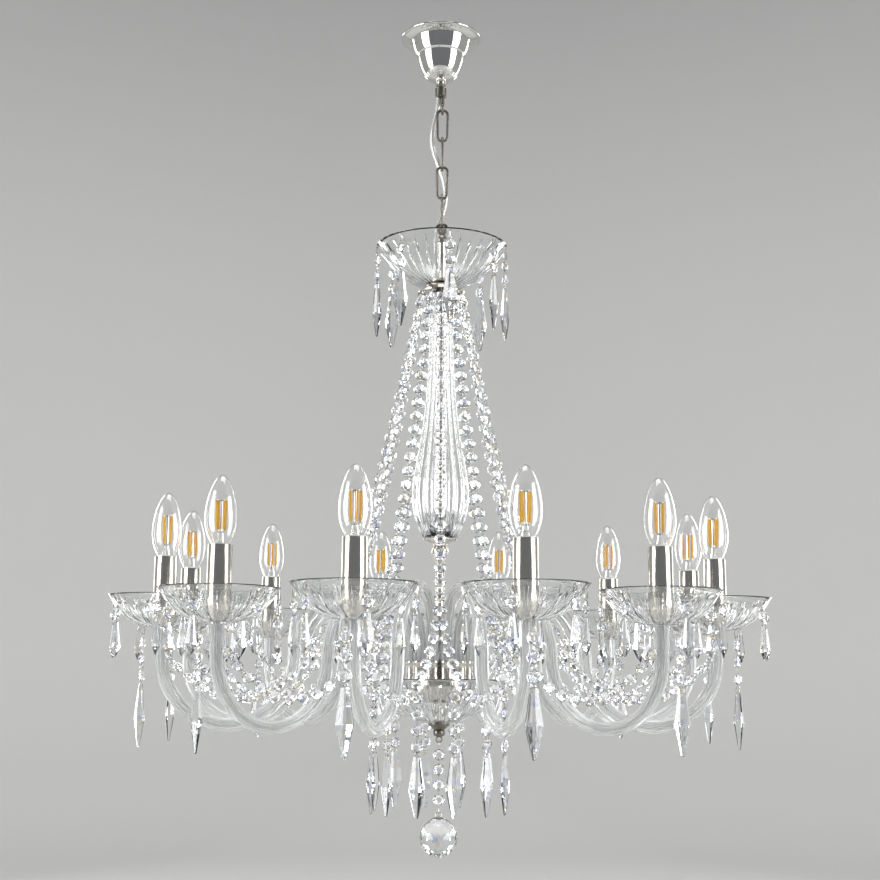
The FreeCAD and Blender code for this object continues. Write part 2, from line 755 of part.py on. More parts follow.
def column():
    item = doc.addObject("Part::Feature", "loop_wire")
    item.Shape = loop_of_wire()
    item.Placement = Placement(Vector(0, 0, size("loop_centre")), Rotation())
    overlap = "eye_wire / 2"
    collar = doc.addObject("Part::Prism", "loop_hexagon")
    collar.Polygon = 6
    bind(
        collar,
        Circumradius="loop_collar_dia / 2",
        Height=f"loop_collar_height + {overlap}",
        Z="rod_top",
    )
    node(fuse("loop_whole", [item, collar]), "top_loop")
    node(cylinder("rod", "rod_dia / 2", "rod_top - lower_bowl_foot", Z="lower_bowl_foot"), "central_rod")

    fittings = [
        ring("neck_cup", "neck_dia / 3", "neck_dia / 2", "neck_height", "neck_foot"),
        ring("baluster_cap", "collar_dia / 2", "foot_cap_dia / 2", "foot_cap_height", "foot_cap_foot"),
        ring("collar", "collar_dia / 2", "collar_dia / 2", "collar_height", "collar_foot"),
    ]
    for name, radius, height, foot in (
        ("bowl_nut", "bowl_nut_dia / 2", "bowl_nut_height", "bowl_nut_top - bowl_nut_height"),
        ("rod_tube", "sleeve_tube_dia / 2", "sleeve_tube_length", "sleeve_tube_foot"),
        (
            "lower_tube",
            "lower_tube_dia / 2",
            "cover_foot - lower_bowl_foot - bowl_wall",
            "lower_bowl_foot + bowl_wall",
        ),
    ):
        fittings.append(ring(name, radius, radius, height, foot))
    node(group("fittings", fittings), "column_fittings")

    glass_bowl("top_bowl", "bowl_foot", "upper")
    glass_bowl("lower_bowl", "lower_bowl_foot", "lower")
    hole, wide, thick = bore(FITTING_SIDES), size("crown_radius"), size("crown_plate")
    plate = faceted([(hole, 0), (wide, 0), (wide, thick), (hole, thick)], FITTING_SIDES)
    feature("strand_crown", plate, Z="crown_foot")

    tall, hole = size("baluster_height"), bore(BALUSTER_SIDES)
    belly, neck_radius = size("baluster_belly_radius"), size("baluster_neck_radius")
    flute = size("baluster_flute")
    profile = [
        (hole, 0),
        (size("baluster_foot_radius"), 0, flute),
        *((across * belly, up * tall, flute) for across, up in BALUSTER_SHAPE),
        (neck_radius, size("baluster_neck_height"), flute),
        (size("baluster_top_radius"), tall, flute),
        (hole, tall),
    ]
    feature("baluster", faceted(profile, BALUSTER_SIDES), Z="baluster_foot")

    high, hole = size("knob_height"), bore(LAMP_SIDES)
    profile = [
        (hole, 0),
        (size("knob_end_radius"), 0),
        (size("knob_radius"), high / 3),
        (size("knob_radius"), 2 * high / 3),
        (size("knob_end_radius"), high),
        (hole, high),
    ]
    feature("glass_knob", faceted(profile, LAMP_SIDES), Z="knob_foot")
    spacer = ring("glass_spacer", "spacer_radius", "spacer_radius", "spacer_height", "hub_top")
    node(spacer, "glass_spacer")


# ---------------------------------------------------------------- hub and finial


def hub():
    hole, rim, thick = bore(BALUSTER_SIDES), size("hub_radius"), size("hub_plate")
    plate = faceted([(hole, 0), (rim, 0), (rim, thick), (hole, thick)], BALUSTER_SIDES)
    plate.translate(Vector(0, 0, -thick))
    inner = size("arm_width + 2 * arm_fit")
    outer = size("arm_width + 2 * arm_fit + 2 * socket_wall")
    high = size("socket_height")
    foot = Vector(size("socket_ring"), 0, 0)
    shell = tube([foot, foot + UP * high], outer, ARM_SIDES)
    room = tube([foot, foot + UP * high], inner, ARM_SIDES)
    sockets = around([shell.cut(room)], LIGHTS, FIRST_LIGHT)
    feature("hub_plate", plate.multiFuse(sockets), Z="hub_top")

    wide, high, hole = size("cover_radius"), size("cover_height"), bore(SHEET_SIDES)
    profile = [
        (hole, 0),
        (size("lower_tube_dia"), 0),
        (wide, high / 2),
        (wide, high),
        (hole, high),
    ]
    feature("hub_cover", faceted(profile, SHEET_SIDES), Z="cover_foot")


def finial():
    cap, nut = size("finial_cap_height"), size("finial_nut_height")
    wide, slim = size("finial_radius"), size("finial_nut_radius")
    lip = size("finial_lip")
    profile = [
        (slim / 2, 0),
        (slim, nut / 4),
        (slim, nut),
        (wide, nut + cap - lip),
        (wide, nut + cap),
    ]
    body = faceted(profile, FITTING_SIDES, closed=False)
    hook = small_ring()
    hook.translate(Vector(0, 0, -size("ring_radius_small")))
    feature("finial", body.fuse(hook), Z="finial_foot")


def small_ring():
    """A six-sided ring of square wire in the XZ plane about its own centre."""
    first = FULL_TURN / SMALL_RING_SIDES / 2
    path = arc_about(ORIGIN, size("ring_radius_small"), first, first + FULL_TURN, SMALL_RING_SIDES)
    return tube(path, size("ring_wire"), 4, closed=True)


def ball_drop():
    """Octagons on a ring in the finial's hook, and the faceted ball on a ring of its own."""
    wire, bend = size("ring_wire"), size("ring_radius_small")
    clear = wire * RING_REACH + size("seat_gap")
    top_ring = small_ring()
    top_ring.rotate(ORIGIN, UP, 90)
    top_ring.translate(Vector(0, 0, size("ball_hinge") + clear - bend))
    top = size("ball_hinge") + clear - 2 * bend - wire * 0.75
    pitch, count = size("ball_pitch"), int(size("ball_strand_crystals"))
    points = [Vector(0, 0, top - pitch * index) for index in range(count + 1)]
    front = Vector(0, -1, 0)
    octagons = string_of(points, size("crystal_width"), size("crystal_depth"), front)
    low_ring = small_ring()
    low_ring.rotate(ORIGIN, UP, 90)
    low_ring.translate(Vector(0, 0, points[-1].z - wire * 0.75 - bend))
    feature("ball_strand", Part.makeCompound([top_ring, *octagons, low_ring]))

    hinge = points[-1].z - wire * 0.75 - 2 * bend
    ball_ring = small_ring()
    ball_ring.translate(Vector(0, 0, hinge + clear - bend))
    radius = size("ball_dia / 2")
    pole = radius * math.sin(math.radians(BALL_LATITUDES[-1]))
    centre = hinge + clear - 2 * bend - wire / 2 - pole
    rings = []
    for latitude in BALL_LATITUDES:
        turn = math.radians(latitude)
        across, up = radius * math.cos(turn), radius * math.sin(turn)
        rings.append(circle_of(across, centre + up, BALL_SIDES))
    feature("crystal_ball", skin(rings).fuse(ball_ring))
    print("ball drop hinges at", round(size("ball_hinge"), 3), round(hinge, 3))


# ---------------------------------------------------------------- arms, cups and lamps


def arm_path():
    """The arm's centreline in the XZ plane, X away from the column, Z above the hub plate's top."""
    start, end = size("socket_ring"), size("ring_radius")
    valley, crest = size("valley_radius"), size("crest_height")
    inner_limb = end - 2 * valley
    valley_height = size("arm_end_height - arm_end_rise")
    outer_crest = crest - valley_height
    inner_crest = inner_limb - start - outer_crest
    path = [Vector(start, 0, 0)]
    path += arc_about(Vector(start + inner_crest, 0, crest - inner_crest), inner_crest, 180, 90, 3)
    path += arc_about(Vector(inner_limb - outer_crest, 0, valley_height), outer_crest, 90, 0, 3)
    path += arc_about(Vector(end - valley, 0, valley_height), valley, 180, FULL_TURN, 5)
    path.append(Vector(end, 0, size("arm_end_height")))
    return path


def lights():
    arm = tube(arm_path(), size("arm_width"), ARM_SIDES)
    rim, depth, wall = size("cup_radius"), size("cup_depth"), size("cup_wall")
    waist, waist_height = size("cup_waist_radius"), size("cup_waist_height")
    foot, hole = size("cup_foot_radius"), size("cup_hole / 2")
    profile = [
        (hole, 0),
        (foot, 0),
        (waist, waist_height),
        (rim, depth),
        (waist - LEAN_ACROSS * wall, waist_height + LEAN_UP * wall),
        (foot, wall),
        (hole, wall),
    ]
    cup = faceted(profile, CUP_SIDES)
    reach = size("ring_radius")
    cup_foot = size("arm_end_height + seat_gap")
    sleeve_foot = cup_foot + wall + size("seat_gap")
    sleeve_top = sleeve_foot + size("candle_height")
    radius = size("candle_dia / 2")
    sleeve = faceted([(radius, sleeve_foot), (radius, sleeve_top)], SLEEVE_SIDES, closed=False)
    base, wide = size("lamp_base_dia / 2"), size("lamp_dia / 2")
    lamp_foot, high = sleeve_top + size("seat_gap"), size("lamp_height")
    profile = [(base, lamp_foot)]
    profile += [(across * wide, lamp_foot + up * high) for across, up in LAMP_SHAPE]
    lamp = faceted(profile, LAMP_SIDES, closed=False)
    sleeve.translate(Vector(reach, 0, 0))
    lamp.translate(Vector(reach, 0, 0))
    for index in range(LIGHTS):
        turn = Rotation(UP, FIRST_LIGHT + LIGHT_SPACING * index)
        for label, shape, place in (
            ("arm", arm, Vector(0, 0, 0)),
            ("cup", cup, Vector(reach, 0, cup_foot)),
        ):
            item = doc.addObject("Part::Feature", f"{label}_{index + 1:02d}")
            item.Shape = shape
            item.Placement = Placement(turn.multVec(place) + UP * HUB_TOP, turn)
            node(item, item.Name)
    for label, solid in (("candle_sleeves", sleeve), ("candle_lamps", lamp)):
        feature(label, Part.makeCompound(around([solid], LIGHTS, FIRST_LIGHT)), Z="hub_top")
    return cup_foot


# ---------------------------------------------------------------- crystals


def hung(hook, octagons, width, depth, length, waist):
    """Octagons below a hook point and a drop of the given size under them.

    The first octagon's upper end is drawn out, and stands for the wire hook too.
    """
    pitch, reach = size("chain_pitch"), size("hook_length")
    points = [hook - UP * (reach + pitch * (index + 1)) for index in range(octagons)]
    outward = Vector(hook.x, hook.y, 0)
    across, thick = size("crystal_width"), size("crystal_depth")
    first_waist = (reach + pitch / 2) / (reach + pitch)
    solids = [crystal(hook, points[0], across, thick, first_waist, outward)]
    solids += string_of(points, across, thick, outward)
    top = points[-1] - UP * PIN_GAP
    solids.append(crystal(top, top - UP * length, width, depth, waist, outward))
    return solids


def strand_and_swags():
    """Strands from the crown between the arms, each parting into swags to the arms beside it."""
    top = Vector(size("crown_radius - strand_top_inset"), 0, size("crown_foot") - PIN_GAP / 2)
    low = Vector(size("strand_low_radius"), 0, HUB_TOP + size("strand_low_height"))
    curve = size("strand_curve")

    def strand(share):
        spread = (1 - curve) * share + curve * share**3
        return Vector(top.x + (low.x - top.x) * spread, 0, top.z + (low.z - top.z) * share)

    width, depth = size("crystal_width"), size("crystal_depth")
    one = string_of(evenly(strand, int(size("strand_crystals"))), width, depth)
    feature("bead_strands", Part.makeCompound(around(one, LIGHTS, FIRST_LIGHT + LIGHT_SPACING / 2)))

    # A swag starts beside its twin, passes clear of the arm and ends in the hook on the arm's side.
    turn = math.radians(LIGHT_SPACING / 2)
    outwards = Vector(math.cos(turn), math.sin(turn), 0)
    from_arm = Vector(math.sin(turn), -math.cos(turn), 0)
    end = outwards * size("ring_radius") + from_arm * size("arm_width / 2 + seat_gap")
    end.z = HUB_TOP + size("swag_end_height")
    start = low + SIDEWAYS * size("swag_part")
    sag, clear = size("swag_sag"), size("swag_clear")

    def swag(share):
        chord = start + (end - start) * share
        return chord - UP * (4 * sag * share * (1 - share)) + from_arm * (clear * share**2)

    count = int(size("swag_crystals"))
    points = evenly(swag, count)
    points[-1] = end
    turned_over = count // 2
    right = string_of(points[: turned_over + 1], width, depth, -from_arm)
    right += string_of(points[turned_over:], width, depth, from_arm)
    left = []
    for solid in right:
        left.append(solid.mirror(ORIGIN, SIDEWAYS))
    pair = around([*right, *left], LIGHTS, FIRST_LIGHT + LIGHT_SPACING / 2)
    feature("bead_swags", Part.makeCompound(pair))


def drops(cup_foot):
    """Pear drops and icicles on the cups' rims, and icicles round both bowls."""
    gap = size("seat_gap")
    rim, depth = size("cup_radius"), size("cup_depth")
    waist, waist_height = size("cup_waist_radius"), size("cup_waist_height")
    reach = rim - size("rim_inset")
    under_rim = depth - size("rim_inset") * (depth - waist_height) / (rim - waist)
    pear = [size("drop_width"), size("drop_depth"), size("drop_length"), size("drop_waist")]
    icicle = [size("icicle_width"), size("icicle_depth"), size("icicle_length"), size("icicle_waist")]
    hook = Vector(reach, 0, HUB_TOP + cup_foot + under_rim - gap)
    pears = around(hung(hook, 1, *pear), int(size("cup_drops")), LIGHT_SPACING)
    outset = size("icicle_outset")
    slope = waist_height / (waist - size("cup_foot_radius"))
    hook = Vector(outset, 0, HUB_TOP + cup_foot + (outset - size("cup_foot_radius")) * slope - gap)
    long_strand = hung(hook, int(size("cup_octagons")), *icicle)
    for label, solids in (("cup_pears", pears), ("cup_icicles", long_strand)):
        moved = []
        for solid in solids:
            solid.translate(Vector(size("ring_radius"), 0, 0))
            moved.append(solid)
        feature(label, Part.makeCompound(around(moved, LIGHTS, FIRST_LIGHT)))

    rim, depth = size("bowl_radius"), size("bowl_depth")
    slope = size("(bowl_depth - bowl_waist_height) / (bowl_radius - bowl_waist_radius)")
    inset = size("rim_inset")
    rings = []
    for foot, which in (("bowl_foot", "upper"), ("lower_bowl_foot", "lower")):
        hook = Vector(rim - inset, 0, size(foot) + depth - inset * slope - gap)
        string = hung(hook, int(size(f"{which}_octagons")), *icicle)
        rings += around(string, int(size(f"{which}_drops")), size(f"{which}_turn"))
    feature("bowl_icicles", Part.makeCompound(rings))


# ---------------------------------------------------------------- build, check and write

ceiling_fixing()
canopy()
chain()
power_cord()
column()
hub()
finial()
ball_drop()
drops(lights())
strand_and_swags()
doc.recompute()

for item in doc.Objects:
    if "Invalid" in item.State or "Error" in item.State:
        raise RuntimeError(f"{item.Label} did not compute: {item.State}")
os.makedirs("parts", exist_ok=True)
for label, item in nodes.items():
    shape = item.Shape
    if shape.isNull() or not shape.isValid() or not shape.Solids:
        raise RuntimeError(f"{label} has no valid solid")
    shape.exportStep(os.path.join("parts", f"{label}.step"))
print(len(nodes), "sub-parts,", sum(len(i.Shape.Solids) for i in nodes.values()), "solids")
for level in ("first_hinge", "first_step", "next_step", "last_hinge", "ball_hinge", "hub_top"):
    print(level, round(size(level), 3))
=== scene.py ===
"""A crystal chandelier with twelve glass arms, dressed for a studio picture.

Every piece is modelled at its real place: +Z up, the ceiling at zero, the front of the room at -Y.
Sizes in the lists are millimetres, and turned profiles are pairs of radius and height.
"""

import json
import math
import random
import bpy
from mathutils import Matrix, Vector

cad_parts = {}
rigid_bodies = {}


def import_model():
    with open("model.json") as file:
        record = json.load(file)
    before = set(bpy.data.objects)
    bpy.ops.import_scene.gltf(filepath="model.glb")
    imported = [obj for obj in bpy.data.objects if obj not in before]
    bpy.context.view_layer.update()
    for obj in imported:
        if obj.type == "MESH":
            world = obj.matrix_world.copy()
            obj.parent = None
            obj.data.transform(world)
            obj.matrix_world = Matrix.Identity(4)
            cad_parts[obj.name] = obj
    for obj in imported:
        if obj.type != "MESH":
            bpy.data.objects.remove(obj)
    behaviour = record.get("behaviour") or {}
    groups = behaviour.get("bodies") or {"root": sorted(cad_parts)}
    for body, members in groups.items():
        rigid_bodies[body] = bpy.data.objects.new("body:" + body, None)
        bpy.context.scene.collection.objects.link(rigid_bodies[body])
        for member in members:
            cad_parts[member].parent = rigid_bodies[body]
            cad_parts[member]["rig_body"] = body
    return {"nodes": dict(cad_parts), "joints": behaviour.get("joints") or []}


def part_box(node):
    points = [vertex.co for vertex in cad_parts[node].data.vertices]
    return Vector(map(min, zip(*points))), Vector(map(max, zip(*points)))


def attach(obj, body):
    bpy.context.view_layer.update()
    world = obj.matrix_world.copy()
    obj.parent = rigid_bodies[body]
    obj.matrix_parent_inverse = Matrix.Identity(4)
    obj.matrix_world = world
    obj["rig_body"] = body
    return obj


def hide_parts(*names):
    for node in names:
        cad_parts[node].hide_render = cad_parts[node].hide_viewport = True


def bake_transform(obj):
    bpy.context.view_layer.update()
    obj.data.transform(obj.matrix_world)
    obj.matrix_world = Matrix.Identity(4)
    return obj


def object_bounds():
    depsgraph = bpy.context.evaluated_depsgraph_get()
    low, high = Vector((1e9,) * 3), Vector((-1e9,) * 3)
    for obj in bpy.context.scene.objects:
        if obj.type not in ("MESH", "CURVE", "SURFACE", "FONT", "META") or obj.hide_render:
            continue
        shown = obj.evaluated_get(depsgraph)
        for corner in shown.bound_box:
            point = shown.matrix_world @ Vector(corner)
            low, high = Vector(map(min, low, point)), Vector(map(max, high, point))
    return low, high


bl_info = {
    "name": "Crystal chandelier",
    "version": (1, 0, 0),
    "blender": (4, 5, 0),
    "location": "View3D > Sidebar > Chandelier",
    "description": "Models the glass, metal and crystals of a chandelier and a studio for it",
    "category": "Object",
}

import bmesh
import bpy
from bpy.props import FloatProperty, FloatVectorProperty, IntProperty, PointerProperty
from mathutils import Matrix, Vector

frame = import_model()
CAD_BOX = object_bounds()

MM = 0.001
UP = Vector((0, 0, 1))
ARMS = 12
ARM_STEP = math.tau / ARMS
FIRST_ARM = ARM_STEP / 2 - math.pi / 2


def foot_of(node):
    """Height of a node's lowest point, in millimetres."""
    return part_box(node)[0][2] / MM


def top_of(node):
    """Height of a node's highest point, in millimetres."""
    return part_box(node)[1][2] / MM


HUB_TOP = foot_of("glass_spacer")
CUP_FOOT = foot_of("cup_01")
RING = 324.7


def linear(hex_text):
    """An sRGB hex colour as linear red, green, blue and alpha."""
    channels = [int(hex_text[i : i + 2], 16) / 255 for i in (1, 3, 5)]
    return (*(c / 12.92 if c <= 0.04045 else ((c + 0.055) / 1.055) ** 2.4 for c in channels), 1.0)


# ---------------------------------------------------------------- what a user would change


def colour(name, hex_text, description):
    return FloatVectorProperty(
        name=name, description=description, subtype="COLOR", size=4, min=0, max=1, default=linear(hex_text)
    )


def length(name, millimetres, description):
    return FloatProperty(
        name=name, description=description, default=millimetres * MM, min=0, unit="LENGTH", subtype="DISTANCE"
    )


class ChandelierMetals(bpy.types.PropertyGroup):
    chrome: colour("Chrome", "#D6D5D2", "Canopy plating")
    nickel: colour("Bright nickel", "#CFCBC2", "Sleeves, sockets and column fittings")
    dark_nickel: colour("Dark nickel", "#77736B", "Chain, eye and end cap")


class ChandelierGlass(bpy.types.PropertyGroup):
    pressed: colour("Pressed glass", "#F8F9F9", "Arms, cups, bowls and column")
    crystal: colour("Cut crystal", "#FAFBFD", "Beads and drops")
    filament: colour("Filament", "#DCA832", "Coated lamp filaments")
    arm_ribs: IntProperty(name="Arm ribs", description="Ribs round a glass arm", default=10, min=6, max=16)
    cup_cuts: IntProperty(name="Cup cuts", description="Radial cuts of a drip cup", default=20, min=8, max=32)


class ChandelierCrystals(bpy.types.PropertyGroup):
    bead: length("Bead", 14, "Octagon bead across")
    bead_pitch: length("Bead pitch", 17.6, "Octagon beads from middle to middle")
    pear: length("Pear drop", 38.5, "Length of the short drops")
    icicle: length("Icicle", 68, "Length of the long drops")


class ChandelierStage(bpy.types.PropertyGroup):
    backdrop: colour("Backdrop", "#CDCDCB", "Paper sweep behind and under the chandelier")
    radius: length("Sweep radius", 3200, "Radius of the round paper sweep")
    floor_drop: length("Floor drop", 330, "Floor below the chandelier's lowest point")


# ---------------------------------------------------------------- materials


def add(tree, kind, links=None, **settings):
    """Adds a node, sets its attributes and its sockets, and links the sockets given another socket."""
    node = tree.nodes.new(kind)
    for name, value in settings.items():
        setattr(node, name, value)
    for name, value in (links or {}).items():
        if isinstance(value, bpy.types.NodeSocket):
            tree.links.new(value, node.inputs[name])
        else:
            node.inputs[name].default_value = value
    return node


def material(name, sockets):
    """A new material: its tree, its main shader with the sockets set, and its Object coordinates."""
    made = bpy.data.materials.new(name)
    made.use_nodes = True
    tree = made.node_tree
    shader = tree.nodes["Principled BSDF"]
    for socket, value in sockets.items():
        shader.inputs[socket].default_value = value
    place = add(tree, "ShaderNodeTexCoord").outputs["Object"]
    return made, tree, shader, place


def ramp(tree, factor, stops):
    node = add(tree, "ShaderNodeValToRGB", {"Fac": factor})
    band = node.color_ramp
    while len(band.elements) < len(stops):
        band.elements.new(0.5)
    for element, (position, shade) in zip(band.elements, stops):
        element.position = position
        element.color = shade
    return node.outputs["Color"]


def grey(value):
    return (value, value, value, 1)


def bumped(tree, shader, height, strength, depth_mm):
    bump = add(tree, "ShaderNodeBump", {"Strength": strength, "Distance": depth_mm * MM, "Height": height})
    tree.links.new(bump.outputs["Normal"], shader.inputs["Normal"])


def plated_metal(name, tone, roughness, wear_mm, ripple):
    """Electroplated metal: a mirror with faint handling haze in patches and barely wavy sheet."""
    made, tree, shader, place = material(name, {"Metallic": 1.0, "Roughness": roughness})
    haze = add(tree, "ShaderNodeTexNoise", {"Vector": place, "Scale": 1 / (wear_mm * MM), "Detail": 5.0})
    spots = ramp(tree, haze.outputs["Fac"], [(0.3, grey(roughness)), (0.75, grey(roughness * 2.2))])
    tree.links.new(spots, shader.inputs["Roughness"])
    dimmer = tuple(c * 0.86 for c in tone[:3]) + (1,)
    tree.links.new(ramp(tree, haze.outputs["Fac"], [(0.35, tone), (0.8, dimmer)]), shader.inputs["Base Color"])
    wave = add(tree, "ShaderNodeTexNoise", {"Vector": place, "Scale": 1 / (9 * MM), "Detail": 2.0})
    bumped(tree, shader, wave.outputs["Fac"], ripple, 0.2)
    return made


def pressed_glass(name, tone, ripple_mm, depth_mm, roughness=0.03, clear=1.0):
    """Clear pressed glass: fire-polished skin with the mould's slow waves and a few fine seeds."""
    made, tree, shader, place = material(
        name, {"Base Color": tone, "Transmission Weight": clear, "IOR": 1.5, "Roughness": roughness}
    )
    wave = add(tree, "ShaderNodeTexNoise", {"Vector": place, "Scale": 1 / (ripple_mm * MM), "Detail": 3.0})
    seeds = add(tree, "ShaderNodeTexVoronoi", {"Vector": place, "Scale": 1 / (2.4 * MM)})
    seed_shape = ramp(tree, seeds.outputs["Distance"], [(0.06, grey(0.6)), (0.14, grey(0.0))])
    height = add(tree, "ShaderNodeMath", {0: wave.outputs["Fac"], 1: seed_shape}, operation="SUBTRACT")
    bumped(tree, shader, height.outputs["Value"], 0.14, depth_mm)
    tint = ramp(tree, wave.outputs["Fac"], [(0.3, tone), (0.8, tuple(c * 0.94 for c in tone[:3]) + (1,))])
    tree.links.new(tint, shader.inputs["Base Color"])
    return made


def cut_crystal(tone):
    """Polished lead crystal: flat bright cuts, with a share of them tinted blue, violet or amber in the base colour as
    painted dispersion glints.
    """
    made, tree, shader, place = material(
        "machine-cut polished crystal",
        {"Base Color": tone, "Transmission Weight": 1.0, "IOR": 1.58, "Roughness": 0.0},
    )
    # Painted dispersion glints: random Voronoi cells tint the base colour blue, violet or amber.
    cell = add(tree, "ShaderNodeTexVoronoi", {"Vector": place, "Scale": 1 / (5 * MM)})
    pick = add(tree, "ShaderNodeSeparateColor", {"Color": cell.outputs["Color"]})
    painted_dispersion_tint = ramp(
        tree,
        pick.outputs[0],
        [
            (0.0, linear("#B9C2F4")),
            (0.04, linear("#DDE3FB")),
            (0.08, tone),
            (0.92, tone),
            (0.96, linear("#F8F2DC")),
            (0.985, linear("#F3DDB8")),
        ],
    )
    tree.links.new(painted_dispersion_tint, shader.inputs["Base Color"])
    scratch = add(tree, "ShaderNodeTexNoise", {"Vector": place, "Scale": 1 / (1.5 * MM), "Detail": 2.0})
    bumped(tree, shader, scratch.outputs["Fac"], 0.1, 0.02)
    return made


def lamp_glass():
    """Thin blown lamp glass: nearly invisible but for its rim and soft reflections."""
    made, tree, shader, place = material(
        "blown lamp glass",
        {"Base Color": (1, 1, 1, 1), "Transmission Weight": 1.0, "IOR": 1.46, "Roughness": 0.0},
    )
    wave = add(tree, "ShaderNodeTexNoise", {"Vector": place, "Scale": 1 / (14 * MM), "Detail": 1.0})
    bumped(tree, shader, wave.outputs["Fac"], 0.1, 0.1)
    return made


def filament_coat(tone):
    """Phosphor-coated filament strips: matt amber that glows a little."""
    made, tree, shader, place = material(
        "phosphor-coated filament",
        {"Base Color": tone, "Roughness": 0.5, "Emission Color": tone, "Emission Strength": 0.32},
    )
    grains = add(tree, "ShaderNodeTexNoise", {"Vector": place, "Scale": 1 / (0.8 * MM), "Detail": 2.0})
    deep = tuple(c * 0.7 for c in tone[:3]) + (1,)
    tree.links.new(ramp(tree, grains.outputs["Fac"], [(0.35, deep), (0.65, tone)]), shader.inputs["Base Color"])
    return made


def moulded_plastic(name, tone, roughness):
    """Injection-moulded plastic with a fine spark-eroded grain."""
    made, tree, shader, place = material(name, {"Base Color": tone, "Roughness": roughness})
    grain = add(tree, "ShaderNodeTexNoise", {"Vector": place, "Scale": 1 / (0.6 * MM), "Detail": 3.0})
    bumped(tree, shader, grain.outputs["Fac"], 0.3, 0.05)
    shade = tuple(c * 0.92 for c in tone[:3]) + (1,)
    tree.links.new(ramp(tree, grain.outputs["Fac"], [(0.4, shade), (0.6, tone)]), shader.inputs["Base Color"])
    return made


def braided_cable():
    """Clear soft PVC over a braid of tinned strands: slanting silver lines under a glossy skin."""
    made, tree, shader, place = material(
        "clear PVC over tinned braid",
        {"Metallic": 0.35, "Roughness": 0.22, "Coat Weight": 0.8, "Coat Roughness": 0.08},
    )
    around = add(tree, "ShaderNodeUVMap", uv_map="along").outputs["UV"]
    waves = []
    for turn in (35, -35):
        turned_uv = add(tree, "ShaderNodeMapping", {"Vector": around, "Rotation": (0, 0, math.radians(turn))})
        wave = add(tree, "ShaderNodeTexWave", {"Vector": turned_uv.outputs["Vector"], "Scale": 1 / (9 * MM)})
        waves.append(wave.outputs["Fac"])
    braid = add(tree, "ShaderNodeMath", {0: waves[0], 1: waves[1]}, operation="MAXIMUM").outputs["Value"]
    shades = ramp(tree, braid, [(0.35, linear("#8F8F8A")), (0.75, linear("#DEDEDA"))])
    tree.links.new(shades, shader.inputs["Base Color"])
    bumped(tree, shader, braid, 0.5, 0.25)
    return made


def paper(tone):
    """Matt background paper with a faint tooth."""
    made, tree, shader, place = material("matt background paper", {"Base Color": tone, "Roughness": 0.95})
    tooth = add(tree, "ShaderNodeTexNoise", {"Vector": place, "Scale": 1 / (3 * MM), "Detail": 2.0})
    bumped(tree, shader, tooth.outputs["Fac"], 0.05, 0.3)
    return made


FINISH = {}


def make_finishes(scene):
    metals, glass = scene.chandelier_metals, scene.chandelier_glass
    FINISH["chrome"] = plated_metal("mirror chrome plate", tuple(metals.chrome), 0.05, 30, 0.02)
    FINISH["nickel"] = plated_metal("bright nickel plate", tuple(metals.nickel), 0.1, 12, 0.03)
    FINISH["dark"] = plated_metal("dark nickel plate", tuple(metals.dark_nickel), 0.2, 6, 0.05)
    FINISH["steel"] = plated_metal("zinc-plated steel strip", linear("#A9AAAC"), 0.35, 4, 0.2)
    FINISH["glass"] = pressed_glass("fire-polished pressed glass", tuple(glass.pressed), 16, 0.35)
    FINISH["arm"] = pressed_glass("drawn ribbed glass", tuple(glass.pressed), 22, 0.3, 0.06, 0.72)
    FINISH["crystal"] = cut_crystal(tuple(glass.crystal))
    FINISH["lamp"] = lamp_glass()
    FINISH["filament"] = filament_coat(tuple(glass.filament))
    FINISH["porcelain"] = moulded_plastic("white moulded insulator", linear("#E9E8E2"), 0.4)
    FINISH["cable"] = braided_cable()
    FINISH["wire"] = moulded_plastic("white wire insulation", linear("#E4E4E0"), 0.35)


# ---------------------------------------------------------------- modelling by hand


def object_mode():
    if bpy.context.mode != "OBJECT":
        bpy.ops.object.mode_set(mode="OBJECT")
    bpy.ops.object.select_all(action="DESELECT")


def only(piece):
    """Selects this piece alone and makes it the active one."""
    object_mode()
    piece.select_set(True)
    bpy.context.view_layer.objects.active = piece


def turned(name, profile, sides=48, closed=False, smooth=40):
    """Turns a profile about the Z axis, ring by ring; closed joins its last ring to its first."""
    object_mode()
    radius, height = profile[0]
    bpy.ops.mesh.primitive_circle_add(vertices=sides, radius=radius * MM)
    piece = bpy.context.object
    piece.name = name
    bpy.ops.object.mode_set(mode="EDIT")
    bpy.ops.mesh.select_mode(type="VERT")
    bpy.ops.mesh.select_all(action="SELECT")
    bpy.ops.transform.translate(value=(0, 0, height * MM))
    for next_radius, next_height in profile[1:]:
        bpy.ops.mesh.extrude_region_move(
            TRANSFORM_OT_translate={"value": (0, 0, (next_height - height) * MM)}
        )
        share = next_radius / radius
        bpy.ops.transform.resize(value=(share, share, 1), center_override=(0, 0, next_height * MM))
        radius, height = next_radius, next_height
    bpy.ops.mesh.select_all(action="DESELECT")
    bpy.ops.mesh.select_non_manifold()
    if closed:
        bpy.ops.mesh.bridge_edge_loops()
    else:
        bpy.ops.mesh.fill_holes(sides=0)
    bpy.ops.mesh.select_all(action="SELECT")
    bpy.ops.mesh.normals_make_consistent(inside=False)
    bpy.ops.object.mode_set(mode="OBJECT")
    shade(piece, smooth)
    return piece


def shade(piece, angle):
    """Smooth shading up to that angle in degrees; none at zero."""
    only(piece)
    if angle:
        bpy.ops.object.shade_smooth_by_angle(angle=math.radians(angle))
    else:
        bpy.ops.object.shade_flat()


def pick(piece, test):
    """In edit mode, selects the vertices that pass the test of place in millimetres."""
    mesh = bmesh.from_edit_mesh(piece.data)
    for vertex in mesh.verts:
        vertex.select = bool(test(vertex.co / MM))
    mesh.select_flush(False)
    bmesh.update_edit_mesh(piece.data)


